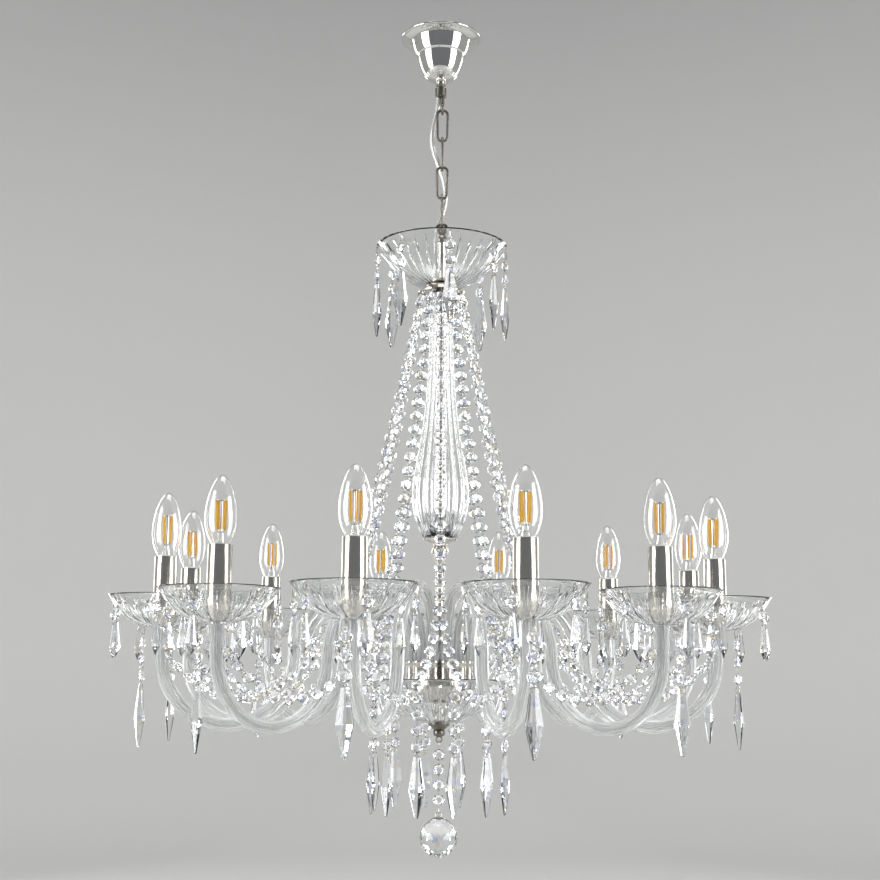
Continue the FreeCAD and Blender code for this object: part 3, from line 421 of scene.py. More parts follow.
def flute(piece, sides, every, share, low, high, least_radius=0.0, phase=0):
    """Draws every so many columns of a turned piece in by a share of the radius, or out if negative."""
    only(piece)
    bpy.ops.object.mode_set(mode="EDIT")
    bpy.ops.mesh.select_mode(type="VERT")

    def in_column(place):
        if not low <= place.z <= high or place.xy.length < least_radius:
            return False
        column = round(math.atan2(place.y, place.x) / math.tau * sides)
        return (column + phase) % every == 0

    pick(piece, in_column)
    bpy.ops.transform.resize(value=(1 - share, 1 - share, 1), center_override=(0, 0, 0))
    bpy.ops.mesh.select_all(action="SELECT")
    bpy.ops.mesh.normals_make_consistent(inside=False)
    bpy.ops.object.mode_set(mode="OBJECT")


def finish_modifier(piece, kind, **settings):
    """Adds a modifier and applies it."""
    only(piece)
    modifier = piece.modifiers.new(kind, kind)
    for name, value in settings.items():
        setattr(modifier, name, value)
    bpy.ops.object.modifier_apply(modifier=modifier.name)
    return piece


def softened(piece, levels=1):
    return finish_modifier(piece, "SUBSURF", levels=levels, render_levels=levels)


def bevelled(piece, width, segments=2, angle=30):
    return finish_modifier(
        piece, "BEVEL", width=width * MM, segments=segments, limit_method="ANGLE", angle_limit=math.radians(angle)
    )


def copied(piece, name, matrix):
    """A copy with a mesh of its own, moved to its place in that mesh."""
    copy = piece.copy()
    copy.data = piece.data.copy()
    copy.name = name
    copy.data.transform(matrix)
    bpy.context.scene.collection.objects.link(copy)
    return copy


def joined(name, pieces):
    """One mesh of several, named."""
    object_mode()
    for piece in pieces:
        piece.select_set(True)
    bpy.context.view_layer.objects.active = pieces[0]
    bpy.ops.object.join()
    pieces[0].name = name
    return pieces[0]


def discard(piece):
    bpy.data.objects.remove(piece)


def moved(x=0.0, y=0.0, z=0.0, turn=0.0):
    """Place in millimetres after a turn about Z in radians."""
    return Matrix.Translation(Vector((x, y, z)) * MM) @ Matrix.Rotation(turn, 4, "Z")


def dress(piece, finish, body, slot, *nodes):
    """Gives a piece its material and its body and hides the nodes that it stands for; the slot is not used."""
    piece.data.materials.clear()
    piece.data.materials.append(FINISH[finish])
    if nodes:
        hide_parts(*nodes)
    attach(piece, body)
    return piece


def wire_ring(name, radius, wire, sides=24, around=10):
    """A ring of wire in the XZ plane about the origin."""
    object_mode()
    bpy.ops.mesh.primitive_torus_add(
        major_segments=sides,
        minor_segments=around,
        major_radius=radius * MM,
        minor_radius=wire / 2 * MM,
        rotation=(math.pi / 2, 0, 0),
    )
    ring = bpy.context.object
    ring.name = name
    bpy.ops.object.transform_apply(location=True, rotation=True, scale=True)
    shade(ring, 60 if around > 4 else 0)
    return ring


# ---------------------------------------------------------------- ceiling and chain


class CHANDELIER_OT_canopy(bpy.types.Operator):
    """Models the canopy: rosette, stepped bell, bush and clamping collar"""

    bl_idname = "chandelier.canopy"
    bl_label = "Canopy"

    def execute(self, context):
        offset = -2.4
        top = top_of("canopy_bell")
        profile = [
            (49.6, 0),
            (51, -0.4),
            (51, -2.2),
            (49.6, -2.8),
            (47.6, -2.4),
            (46.6, -3.0),
            (43, -4.6),
            (40, -5.4),
            (38, -6.0),
            (35.5, -6.0),
            (35.5, -4.6),
            (44, -2.6),
            (47, -1),
            (47.5, 0),
        ]
        sides = 96
        rosette = turned("canopy_rosette", profile, sides, closed=True, smooth=50)
        flute(rosette, sides, 8, 0.02, -5.6, -2.9, 39)
        flute(rosette, sides, 8, -0.02, -5.6, -2.9, 39, phase=4)
        softened(rosette)
        rosette.data.transform(moved(x=offset))
        dress(rosette, "chrome", "canopy", "polished_chrome", "canopy_rosette")

        profile = [
            (37.5, 0),
            (37.2, -1.2),
            (36.2, -6),
            (34.4, -12),
            (32.0, -17.2),
            (31.2, -18.6),
            (30.2, -19),
            (29.6, -19.4),
            (29.4, -21),
            (28.6, -26),
            (26.6, -32),
            (24.4, -38.4),
            (21.4, -43.8),
            (17.6, -47.6),
            (14, -49.6),
            (12.4, -51),
            (6.2, -51),
            (6.2, -49.8),
            (13.2, -48.4),
            (19.8, -43),
            (25.2, -31.8),
            (27.6, -24),
            (28.4, -18),
            (32.8, -12),
            (36.2, 0),
        ]
        bell = turned("canopy_bell", profile, 64, closed=True, smooth=50)
        bell.data.transform(moved(x=offset, z=top))
        leaf = turned("bell_foot_relief", [(12, 0), (13.6, 0), (17.4, 1.8), (20.8, 5.2), (20, 6), (16.4, 3.4), (12, 1.6)], 96, True)
        flute(leaf, 96, 8, 0.07, -0.1, 5.4, 13)
        leaf.data.transform(moved(x=offset, z=top - 50.6))
        dress(joined("canopy_bell_shell", [bell, leaf]), "chrome", "canopy", "polished_chrome", "canopy_bell")

        bush_foot, gland_foot = foot_of("canopy_bush"), foot_of("cord_gland")
        bush = turned(
            "bush",
            [(2.4, 0), (5.4, 0), (6.1, 0.6), (6.1, 9.8), (5.6, 10.4), (5.6, 11), (2.4, 11)],
            32,
            closed=True,
        )
        bush.data.transform(moved(x=offset, z=bush_foot))
        collar = turned(
            "collar",
            [(2.4, 0), (6.4, 0), (7.3, 0.8), (7.3, 3.6), (6.9, 4), (7.3, 4.4), (7.3, 11), (6.4, 12), (2.4, 12)],
            32,
            closed=True,
        )
        collar.data.transform(moved(x=offset, z=gland_foot))
        dress(bush, "nickel", "canopy", "satin_nickel", "canopy_bush")
        dress(collar, "dark", "canopy", "dark_nickel", "cord_gland")
        for node, finish in (("ceiling_bar", "steel"), ("terminal_block", "porcelain")):
            shown = frame["nodes"][node]
            shown.data.materials.clear()
            shown.data.materials.append(FINISH[finish])
        return {"FINISHED"}


class CHANDELIER_OT_chain(bpy.types.Operator):
    """Models the eye bolt and the four oval chain links"""

    bl_idname = "chandelier.chain"
    bl_label = "Chain"

    def execute(self, context):
        eye = wire_ring("eye", 6.4, 3.6, 32, 12)
        eye.data.transform(Matrix.Rotation(math.pi / 2, 4, "Z"))
        low, high = foot_of("eye_bolt"), top_of("eye_bolt")
        eye.data.transform(moved(z=low + 8.2))
        shank = turned(
            "shank", [(2.25, low + 14.6), (2.25, high - 3.6), (4.3, high - 3.5), (4.3, high - 0.4), (3.6, high)], 24
        )
        dress(joined("eye_bolt_wire", [eye, shank]), "dark", "ceiling", "dark_nickel", "eye_bolt")

        link = wire_ring("oval_link", 6.5, 3.4, 32, 12)
        only(link)
        bpy.ops.object.mode_set(mode="EDIT")
        bpy.ops.mesh.select_mode(type="VERT")
        pick(link, lambda place: place.z < -0.01)
        bpy.ops.transform.translate(value=(0, 0, -28.7 * MM))
        bpy.ops.object.mode_set(mode="OBJECT")
        for index in range(4):
            node = f"chain_link_{index + 1}"
            turn = math.pi / 2 * (index % 2)
            piece = copied(link, f"oval_link_{index + 1}", moved(z=top_of(node) - 8.2, turn=turn))
            dress(piece, "dark", f"link_{index + 1}", "dark_nickel", node)
        discard(link)
        return {"FINISHED"}


# From the clamping collar the cord bows out to the left, passes behind the chain and back again.
CORD_ROUTE = [
    (-5.2, 3.1, -80.0),
    (-5.2, 3.1, -91.0),
    (-9.0, 5.6, -106.0),
    (-13.2, 6.2, -125.0),
    (-12.6, 8.4, -144.0),
    (-5.5, 11.8, -164.0),
    (1.8, 13.2, -183.0),
    (5.2, 11.6, -202.0),
    (3.6, 12.0, -222.0),
    (-3.0, 12.2, -242.0),
    (-7.6, 9.9, -267.0),
    (-6.3, 8.2, -294.0),
    (-6.3, 8.2, -321.1),
]
CORD_WIDTH = 6.2


def centreline(points):
    """The smooth line of a cord's route: points read from its NURBS spline."""
    curve = bpy.data.curves.new("route", "CURVE")
    curve.dimensions = "3D"
    curve.resolution_u = 16
    spline = curve.splines.new("NURBS")
    spline.points.add(len(points) - 1)
    for control, place in zip(spline.points, points):
        control.co = (*(v * MM for v in place), 1)
    spline.order_u = 3
    spline.use_endpoint_u = True
    holder = bpy.data.objects.new("route", curve)
    bpy.context.scene.collection.objects.link(holder)
    mesh = bpy.data.meshes.new_from_object(holder)
    line = [vertex.co.copy() for vertex in mesh.vertices]
    bpy.data.objects.remove(holder)
    bpy.data.meshes.remove(mesh)
    return line


def tube_along(name, line, radius, sides, start_length=0.0):
    """A closed tube along a line, with a map of the way round and the way along, in metres."""
    mesh = bmesh.new()
    layer = mesh.loops.layers.uv.new("along")
    rings, lengths = [], [start_length]
    across = Vector((0, 1, 0))
    for index, place in enumerate(line):
        before, after = line[max(index - 1, 0)], line[min(index + 1, len(line) - 1)]
        ahead = (after - before).normalized()
        across = (across - ahead * across.dot(ahead)).normalized()
        beside = ahead.cross(across)
        if index:
            lengths.append(lengths[-1] + (place - line[index - 1]).length)
        ring = []
        for side in range(sides):
            angle = math.tau * side / sides
            offset = across * math.cos(angle) + beside * math.sin(angle)
            ring.append(mesh.verts.new(place + offset * radius))
        rings.append(ring)
    girth = math.tau * radius
    for index in range(len(rings) - 1):
        low, high = rings[index], rings[index + 1]
        for side in range(sides):
            after = (side + 1) % sides
            face = mesh.faces.new((low[side], low[after], high[after], high[side]))
            spans = (side, side + 1, side + 1, side)
            for loop, span, along in zip(face.loops, spans, (0, 0, 1, 1)):
                loop[layer].uv = (span / sides * girth, lengths[index + along])
    mesh.faces.new(reversed(rings[0]))
    mesh.faces.new(rings[-1])
    bmesh.ops.recalc_face_normals(mesh, faces=mesh.faces)
    data = bpy.data.meshes.new(name)
    mesh.to_mesh(data)
    mesh.free()
    piece = bpy.data.objects.new(name, data)
    bpy.context.scene.collection.objects.link(piece)
    shade(piece, 60)
    return piece, lengths[-1]


class CHANDELIER_OT_cord(bpy.types.Operator):
    """Models the clear supply cord that winds down beside the chain"""

    bl_idname = "chandelier.cord"
    bl_label = "Cord"

    def execute(self, context):
        line = centreline(CORD_ROUTE)
        hinges = [joint["pos_m"][2] for joint in frame["joints"] if joint["name"] in CHAIN_JOINTS]
        cuts = [(above + below) / 2 for above, below in zip(hinges, hinges[1:])]
        along = 0.0
        above = line[0].z
        for index, hinge in enumerate(hinges):
            below = cuts[index] if index < len(cuts) else line[-1].z
            part = [place for place in line if below - 1e-6 <= place.z <= above + 1e-6]
            if index:
                part.insert(0, last)
            if index < len(cuts):
                upper = part[-1]
                lower = next(place for place in line if place.z < below)
                share = (upper.z - below) / (upper.z - lower.z)
                if share > 1e-3:
                    part.append(upper.lerp(lower, share))
            last = part[-1]
            piece, along = tube_along(f"supply_cord_{index + 1}", part, CORD_WIDTH / 2 * MM, 16, along)
            piece.data.materials.append(FINISH["cable"])
            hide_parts("power_cord")
            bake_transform(piece)
            above = below
        return {"FINISHED"}


CHAIN_JOINTS = ("eye_swing", "link_swing_2", "link_swing_3", "link_swing_4", "loop_swing")


# ---------------------------------------------------------------- column

# Vertex columns from one cut of a bowl or cup to the next; a cut is two of them wide.
CUT_COLUMNS = 8


def fluted_bowl(name, profile, wall, cuts, ridge):
    """A pressed bowl with narrow radial ridges, from its outer profile foot to rim."""
    inner = []
    for index in range(len(profile) - 1, 0, -1):
        radius, height = profile[index]
        before = Vector(profile[index - 1])
        after = Vector(profile[min(index + 1, len(profile) - 1)])
        run = (after - before).normalized()
        inner.append((radius - run.y * wall, height + run.x * wall))
    inner[0] = (profile[-1][0] - wall, profile[-1][1])
    foot_radius = profile[0][0]
    rings = [(5.2, 0), *profile, *inner, (foot_radius, wall), (5.2, wall)]
    sides = cuts * CUT_COLUMNS
    bowl = turned(name, rings, sides, closed=True, smooth=0)
    height = profile[-1][1]
    flute(bowl, sides, CUT_COLUMNS, ridge, -0.1, height * 0.72, foot_radius * 0.9)
    flute(bowl, sides, CUT_COLUMNS, -ridge * 0.3, -0.1, height * 0.5, foot_radius * 0.9, phase=CUT_COLUMNS // 2)
    bevelled(bowl, 0.5, 2, 60)
    shade(bowl, 24)
    return bowl


class CHANDELIER_OT_column(bpy.types.Operator):
    """Models the loop, the rod's fittings, the fluted baluster, the knob and the spacer"""

    bl_idname = "chandelier.column"
    bl_label = "Column"

    def execute(self, context):
        top = top_of("top_loop")
        loop = wire_ring("loop", 6.4, 3.6, 32, 12)
        loop.data.transform(moved(z=top - 8.2))
        foot = foot_of("top_loop")
        nut = turned(
            "nut", [(5.9, foot), (6.4, foot + 0.6), (6.4, foot + 5), (5.0, foot + 7.6), (3.4, foot + 9.6)], 24
        )
        dress(joined("hanging_loop", [loop, nut]), "dark", "chandelier", "dark_nickel", "top_loop")

        neck, cap = foot_of("strand_crown") + 3, foot_of("baluster") - 6
        collar, tube = cap - 17, cap - 79
        clamp = top_of("column_fittings") - 5
        pieces = [
            turned("clamp", [(5.1, 0), (15.6, 0), (17, 1), (17, 3.4), (14, 4.6), (9, 5), (5.1, 5)], 48, True),
            turned("neck", [(5.1, 0), (12, 0), (12.8, 1), (15, 5), (18.6, 7), (19, 8), (5.1, 8)], 48, True),
            turned("cap", [(5.1, 0), (10.5, 0), (11, 1), (14, 3.4), (20.6, 4.6), (21, 6), (5.1, 6)], 72, True),
            turned(
                "collar",
                [
                    (5.1, 0),
                    (6.6, 0),
                    (7.4, 1),
                    (7.4, 2),
                    (8.8, 3.5),
                    (10.4, 7),
                    (10.4, 10),
                    (8.6, 13),
                    (7.6, 14.5),
                    (8.6, 16),
                    (8.6, 17),
                    (5.1, 17),
                ],
                40,
                True,
            ),
            turned("tube", [(5.1, 0), (6.2, 0), (6.2, 3), (5.8, 3.6), (5.8, 58), (6.2, 58.6), (6.2, 62), (5.1, 62)], 32, True),
        ]
        flute(pieces[2], 72, 6, 0.09, 4, 7, 15)
        for piece, height in zip(pieces, (clamp, neck, cap, collar, tube)):
            piece.data.transform(moved(z=height))
        low = foot_of("lower_bowl") + 4
        stem = turned("stem", [(5.1, 0), (8, 0), (8, 2), (6.8, 4), (6.8, 16), (8, 18), (8, 19.5), (5.1, 19.5)], 32, True)
        stem.data.transform(moved(z=low))
        dress(joined("rod_fittings", [*pieces, stem]), "nickel", "chandelier", "satin_nickel", "column_fittings")

        crown = turned(
            "strand_ring", [(5.1, 0), (26, 0), (27, 0.8), (30, 1.2), (30, 2.4), (26, 3), (5.1, 3)], 48, True
        )
        crown.data.transform(moved(z=foot_of("strand_crown")))
        dress(crown, "nickel", "chandelier", "satin_nickel", "strand_crown")
        rod = frame["nodes"]["central_rod"]
        rod.data.materials.clear()
        rod.data.materials.append(FINISH["nickel"])

        profile = [
            (5.1, 0),
            (20, 0),
            (21.5, 1),
            (22.4, 4),
            (25, 9),
            (30, 20),
            (34, 34),
            (35.7, 50),
            (34.6, 68),
            (30.6, 90),
            (26, 114),
            (22.4, 138),
            (19.4, 164),
            (17.2, 190),
            (15.6, 216),
            (15, 240),
            (15, 262),
            (15.8, 286),
            (17, 300),
            (17, 304.5),
            (5.1, 304.5),
        ]
        sides = 14 * 6
        baluster = turned("baluster_glass", profile, sides, closed=True, smooth=0)
        flute(baluster, sides, 6, 0.13, 3, 290, 12)
        for phase in (1, 5):
            flute(baluster, sides, 6, 0.06, 3, 290, 12, phase=phase)
        softened(baluster)
        shade(baluster, 50)
        baluster.data.transform(moved(z=foot_of("baluster")))
        dress(baluster, "glass", "chandelier", "moulded_glass", "baluster")

        knob = turned("knob", [(5.1, 0), (8, 0), (10.4, 5), (11, 11), (10.4, 17), (8, 22), (5.1, 22)], 12, True, 0)
        knob.data.transform(moved(z=foot_of("glass_knob")))
        dress(knob, "crystal", "chandelier", "moulded_glass", "glass_knob")
        spacer = turned(
            "spacer",
            [(5.1, 0), (8.4, 0), (9, 1), (9, 4), (7.6, 6), (7.6, 53), (9, 55.5), (9, 58.5), (8.4, 59.5), (5.1, 59.5)],
            32,
            True,
        )
        spacer.data.transform(moved(z=foot_of("glass_spacer")))
        dress(spacer, "glass", "chandelier", "moulded_glass", "glass_spacer")
        return {"FINISHED"}


# Each bowl's icicles, the octagons above each of them, and the degrees that the bowl stands turned.
BOWL_DROPS = [("top_bowl", 8, 2, 7), ("lower_bowl", 12, 4, 12)]
BOWL_PROFILE = [(19.7, 0), (30, 2.4), (42, 8), (53, 16), (63, 26), (71, 35.5), (77, 43.5), (80.4, 48.5), (82, 50.5)]
CUP_PROFILE = [(14, 0), (24, 2.0), (34, 5.4), (43, 10.6), (50, 17), (55.6, 24), (60, 31), (63, 35.4), (64.5, 37)]


class CHANDELIER_OT_bowls(bpy.types.Operator):
    """Models the two large fluted glass bowls"""

    bl_idname = "chandelier.bowls"
    bl_label = "Bowls"

    def execute(self, context):
        bowl = fluted_bowl("bowl", BOWL_PROFILE, 4.0, 32, 0.032)
        for node, _, _, turn in BOWL_DROPS:
            piece = copied(bowl, f"{node}_glass", moved(z=foot_of(node), turn=math.radians(turn)))
            dress(piece, "glass", "chandelier", "moulded_glass", node)
        discard(bowl)
        return {"FINISHED"}


class CHANDELIER_OT_hub(bpy.types.Operator):
    """Models the hub plate with its sockets, the wiring cover and the end cap"""

    bl_idname = "chandelier.hub"
    bl_label = "Hub"

    def execute(self, context):
        plate = turned(
            "plate",
            [(5.1, -3.5), (41, -3.5), (42, -2.8), (42, -0.7), (41, 0), (5.1, 0)],
            64,
            closed=True,
        )
        socket = turned(
            "socket",
            [
                (7.6, 0.1),
                (8.4, 0.1),
                (8.4, 2.4),
                (8.0, 3),
                (8.0, 17.4),
                (8.5, 18),
                (8.5, 20.0),
                (8.3, 20.5),
                (7.6, 20.5),
            ],
            24,
            closed=True,
        )
        pieces = [plate]
        for index in range(ARMS):
            angle = FIRST_ARM + ARM_STEP * index
            place = moved(33 * math.cos(angle), 33 * math.sin(angle), turn=angle)
            pieces.append(copied(socket, "socket_copy", place))
        discard(socket)
        hub = joined("hub_and_sockets", pieces)
        hub.data.transform(moved(z=HUB_TOP))
        dress(hub, "nickel", "chandelier", "satin_nickel", "hub_plate")

        cover = turned(
            "wiring_cover",
            [(5.1, 0), (15, 0), (17, 0.8), (24, 4), (30, 9), (33, 15), (34, 21), (34, 24), (5.1, 24)],
            64,
            closed=True,
        )
        cover.data.transform(moved(z=foot_of("hub_cover")))
        dress(cover, "nickel", "chandelier", "satin_nickel", "hub_cover")

        top = top_of("finial")
        cap = turned(
            "end_cap",
            [
                (1.2, -16.4),
                (3.6, -16.2),
                (6.2, -14.8),
                (7, -13),
                (7, -9.6),
                (6.2, -8.4),
                (7.4, -7.4),
                (10, -4.8),
                (12.6, -3.2),
                (13, -2.4),
                (13, -0.4),
                (12.4, 0),
            ],
            40,
        )
        cap.data.transform(moved(z=top))
        hook = wire_ring("hook", 3.4, 1.5, 20, 8)
        hook.data.transform(moved(z=foot_of("finial") + 4.2))
        dress(joined("end_cap_and_hook", [cap, hook]), "dark", "chandelier", "dark_nickel", "finial")
        return {"FINISHED"}


# ---------------------------------------------------------------- arms, cups and lamps

ARM_RADIUS = 7.5
WIRE_RADIUS = 2.2
# The middle line of an arm: away from the column, above the hub plate. Two arcs over, one under.
ARM_ARCS = [((93.5, 43.0), 60.5, 180, 90), ((93.5, 22.3), 81.2, 90, 0), ((249.7, 22.3), 75.0, 180, 360)]


def arm_line():
    """Points along an arm's middle line, in metres, in the XZ plane."""
    points = [Vector((33, 0, 0)), Vector((33, 0, 20))]
    for (x, z), radius, first, last in ARM_ARCS:
        steps = max(4, round(abs(last - first) / 6))
        for step in range(steps + 1):
            angle = math.radians(first + (last - first) * step / steps)
            points.append(Vector((x + radius * math.cos(angle), 0, z + radius * math.sin(angle))))
    points.append(Vector((RING, 0, 54.5)))
    line = [points[0] * MM]
    for point in points[1:]:
        if (point * MM - line[-1]).length > 1.5 * MM:
            line.append(point * MM)
    return line


class CHANDELIER_OT_arms(bpy.types.Operator):
    """Models one ribbed glass arm and copies it round the hub"""

    bl_idname = "chandelier.arms"
    bl_label = "Arms"

    def execute(self, context):
        ribs = context.scene.chandelier_glass.arm_ribs
        object_mode()
        bpy.ops.curve.primitive_bezier_circle_add(radius=ARM_RADIUS * MM)
        section = bpy.context.object
        bpy.ops.object.mode_set(mode="EDIT")
        bpy.ops.curve.select_all(action="SELECT")
        bpy.ops.object.mode_set(mode="OBJECT")
        section.data.splines.clear()
        outline = section.data.splines.new("POLY")
        outline.points.add(ribs * 4 - 1)
        for index, point in enumerate(outline.points):
            angle = math.tau * index / (ribs * 4)
            reach = ARM_RADIUS * (1 - 0.17 * (1 - math.cos(angle * ribs)) / 2) * MM
            point.co = (reach * math.cos(angle), reach * math.sin(angle), 0, 1)
        outline.use_cyclic_u = True
        curve = bpy.data.curves.new("arm_line", "CURVE")
        curve.dimensions = "3D"
        curve.bevel_mode = "OBJECT"
        curve.bevel_object = section
        curve.use_fill_caps = True
        spline = curve.splines.new("POLY")
        line = arm_line()
        spline.points.add(len(line) - 1)
        for point, place in zip(spline.points, line):
            point.co = (*place, 1)
        arm = bpy.data.objects.new("arm", curve)
        context.scene.collection.objects.link(arm)
        only(arm)
        bpy.ops.object.convert(target="MESH")
        arm = bpy.context.object
        bpy.ops.object.mode_set(mode="EDIT")
        bpy.ops.mesh.select_all(action="SELECT")
        bpy.ops.mesh.remove_doubles(threshold=1e-6)
        bpy.ops.mesh.select_all(action="DESELECT")
        bpy.ops.mesh.select_non_manifold()
        bpy.ops.mesh.fill_holes(sides=0)
        bpy.ops.mesh.select_all(action="SELECT")
        bpy.ops.mesh.normals_make_consistent(inside=False)
        bpy.ops.object.mode_set(mode="OBJECT")
        shade(arm, 50)
        ends = [Vector((line[0].x, 0, line[0].z + WIRE_RADIUS * MM)), Vector((line[-1].x, 0, line[-1].z - WIRE_RADIUS * MM))]
        core, _ = tube_along("wire", [ends[0], *line[1:-1], ends[1]], WIRE_RADIUS * MM, 10)
        wires = []
        for index in range(ARMS):
            place = moved(z=HUB_TOP, turn=FIRST_ARM + ARM_STEP * index)
            name = f"arm_{index + 1:02d}"
            dress(copied(arm, f"{name}_glass", place), "arm", "chandelier", "moulded_glass", name)
            wires.append(copied(core, "wire", place))
        dress(joined("arm_wires", wires), "wire", "chandelier", "clear_cable")
        discard(core)
        discard(arm)
        discard(section)
        return {"FINISHED"}


class CHANDELIER_OT_cups(bpy.types.Operator):
    """Models one fluted drip cup and sets a copy under each candle"""

    bl_idname = "chandelier.cups"
    bl_label = "Drip cups"

    def execute(self, context):
        cup = fluted_bowl("cup", CUP_PROFILE, 3.2, context.scene.chandelier_glass.cup_cuts, 0.045)
        for index in range(ARMS):
            angle = FIRST_ARM + ARM_STEP * index
            name = f"cup_{index + 1:02d}"
            place = moved(RING * math.cos(angle), RING * math.sin(angle), CUP_FOOT, turn=angle)
            dress(copied(cup, f"{name}_glass", place), "glass", "chandelier", "moulded_glass", name)
        discard(cup)
        return {"FINISHED"}


def round_the_ring(piece, name, turn_each=0.0):
    """Copies of a piece at every candle, joined to one mesh."""
    copies = []
    for index in range(ARMS):
        angle = FIRST_ARM + ARM_STEP * index
        place = moved(RING * math.cos(angle), RING * math.sin(angle), turn=angle + turn_each * index)
        copies.append(copied(piece, f"{name}_{index}", place))
    discard(piece)
    return joined(name, copies)


class CHANDELIER_OT_candles(bpy.types.Operator):
    """Models the nickel candle sleeves"""

    bl_idname = "chandelier.candles"
    bl_label = "Candle sleeves"

    def execute(self, context):
        foot, top = foot_of("candle_sleeves"), top_of("candle_sleeves")
        sleeve = turned(
            "sleeve",
            [
                (11.6, foot + 3),
                (11.6, foot),
                (12.6, foot),
                (13, foot + 0.6),
                (13, top - 0.5),
                (12.7, top),
                (12.3, top),
                (12.1, top - 1),
                (12.1, top - 6),
                (4, top - 6.4),
                (1, top - 6.4),
            ],
            48,
        )
        dress(round_the_ring(sleeve, "sleeves"), "nickel", "chandelier", "candle_nickel", "candle_sleeves")
        return {"FINISHED"}


class CHANDELIER_OT_lamps(bpy.types.Operator):
    """Models the candle lamps: blown glass, stem, filaments and white insulator base"""

    bl_idname = "chandelier.lamps"
    bl_label = "Lamps"

    def execute(self, context):
        foot = foot_of("candle_lamps")
        outer = [
            (10, 0.2),
            (11.4, 3),
            (14.2, 9),
            (16.5, 16.5),
            (17.5, 25.5),
            (17.1, 34.5),
            (15.9, 43),
            (14.0, 51.5),
            (11.4, 59),
            (8.6, 65),
            (5.7, 69.4),
            (2.8, 72.2),
            (0.8, 73),
        ]
        wall = 0.7
        inner = [(max(radius - wall, 0.3), height - (0.8 if radius < 3 else 0.2)) for radius, height in reversed(outer)]
        glass = turned("glass", outer, 40, False, 60)
        cavity = turned("cavity", list(reversed(inner)), 40, False, 60)
        only(cavity)
        bpy.ops.object.mode_set(mode="EDIT")
        bpy.ops.mesh.select_all(action="SELECT")
        bpy.ops.mesh.flip_normals()
        bpy.ops.object.mode_set(mode="OBJECT")
        cavity.data.transform(moved(z=0.5))
        envelope = joined("envelope", [glass, cavity])
        envelope.data.transform(moved(z=foot))
        envelope = round_the_ring(envelope, "lamp_glass")
        dress(envelope, "lamp", "chandelier", "lamp_glass", "candle_lamps")

        stem = turned("stem", [(4.8, 1.6), (4.6, 4), (3.6, 7.5), (3.2, 11), (3.0, 12.6), (1.6, 14), (1.5, 45)], 16)
        stem.data.transform(moved(z=foot))
        stem = round_the_ring(stem, "lamp_stems")
        dress(stem, "glass", "chandelier", "lamp_glass")

        strips, wires = [], []
        for index in range(4):
            angle = math.tau * (index + 0.5) / 4
            strip = turned("strip", [(0.8, 0), (1.3, 0.5), (1.3, 29.5), (0.8, 30)], 10)
            lean = Matrix.Rotation(math.radians(2), 4, "Y")
            strip.data.transform(moved(5.0, 0, 15.5) @ lean)
            strip.data.transform(Matrix.Rotation(angle, 4, "Z"))
            strips.append(strip)
            wire = turned("wire", [(0.35, 0), (0.35, 5)], 6)
            wire.data.transform(moved(2.6, 0, 11.5) @ Matrix.Rotation(math.radians(30), 4, "Y"))
            wire.data.transform(Matrix.Rotation(angle, 4, "Z"))
            wires.append(wire)
        post = turned("post", [(0.4, 12), (0.4, 47)], 8)
        ring = turned("top_ring", [(0.5, 45.4), (6.6, 45.6), (6.6, 46.0), (0.5, 46.4)], 12)
        wires += [post, ring]
        filaments = joined("strips", strips)
        filaments.data.transform(moved(z=foot))
        dress(round_the_ring(filaments, "filaments", 0.7), "filament", "chandelier", "lamp_glass")
        holder = joined("wires", wires)
        holder.data.transform(moved(z=foot))
        dress(round_the_ring(holder, "filament_wires", 0.7), "nickel", "chandelier", "candle_nickel")
        base = turned(
            "base", [(1, -5), (10.6, -5), (11, -4), (11, -1.2), (10.8, 0.1), (10.2, 1.4), (5, 1.6), (1, 1.6)], 32
        )
        base.data.transform(moved(z=foot))
        dress(round_the_ring(base, "lamp_bases"), "porcelain", "chandelier", "candle_nickel")
        return {"FINISHED"}


# ---------------------------------------------------------------- crystals


def cut_stone(name, width, depth, rings):
    """A flat-cut stone hanging along -Z from its top: rings of (share of width, height), six-sided."""
    stone = turned(name, [(share * width / 2, height) for share, height in rings], 6, False, 0)
    only(stone)
    bpy.ops.object.mode_set(mode="EDIT")
    bpy.ops.mesh.select_all(action="SELECT")
    bpy.ops.transform.rotate(value=math.tau / 12, orient_axis="Z", center_override=(0, 0, 0))
    bpy.ops.transform.resize(value=(depth / width, 1, 1), center_override=(0, 0, 0))
    bpy.ops.object.mode_set(mode="OBJECT")
    return stone


def octagon_bead(width):
    """A round-cut octagon bead facing +X: table, star cuts, girdle and the same behind."""
    half = width / 2
    bead = turned(
        "bead",
        [(half * 0.45, -3.4), (half * 0.74, -2.2), (half, -0.6), (half, 0.6), (half * 0.74, 2.2), (half * 0.45, 3.4)],
        8,
        False,
        0,
    )
    only(bead)
    bpy.ops.object.mode_set(mode="EDIT")
    bpy.ops.mesh.select_mode(type="VERT")
    for low, high in ((-2.8, -1.5), (1.5, 2.8)):
        pick(bead, lambda place: low < place.z < high)
        bpy.ops.transform.rotate(value=math.tau / 16, orient_axis="Z", center_override=(0, 0, 0))
    bpy.ops.mesh.select_all(action="SELECT")
    bpy.ops.mesh.quads_convert_to_tris(quad_method="SHORTEST_DIAGONAL")
    bpy.ops.mesh.normals_make_consistent(inside=False)
    bpy.ops.object.mode_set(mode="OBJECT")
    bead.data.transform(Matrix.Rotation(math.pi / 2, 4, "Y"))
    shade(bead, 0)
    return bead


def facing(place, run, outward):
    """Local Z along the run, local X as far as may be along outward, at a place in millimetres."""
    run = run.normalized()
    side = run.cross(outward).normalized()
    front = side.cross(run)
    return Matrix.Translation(place * MM) @ Matrix((front, side, run)).transposed().to_4x4()


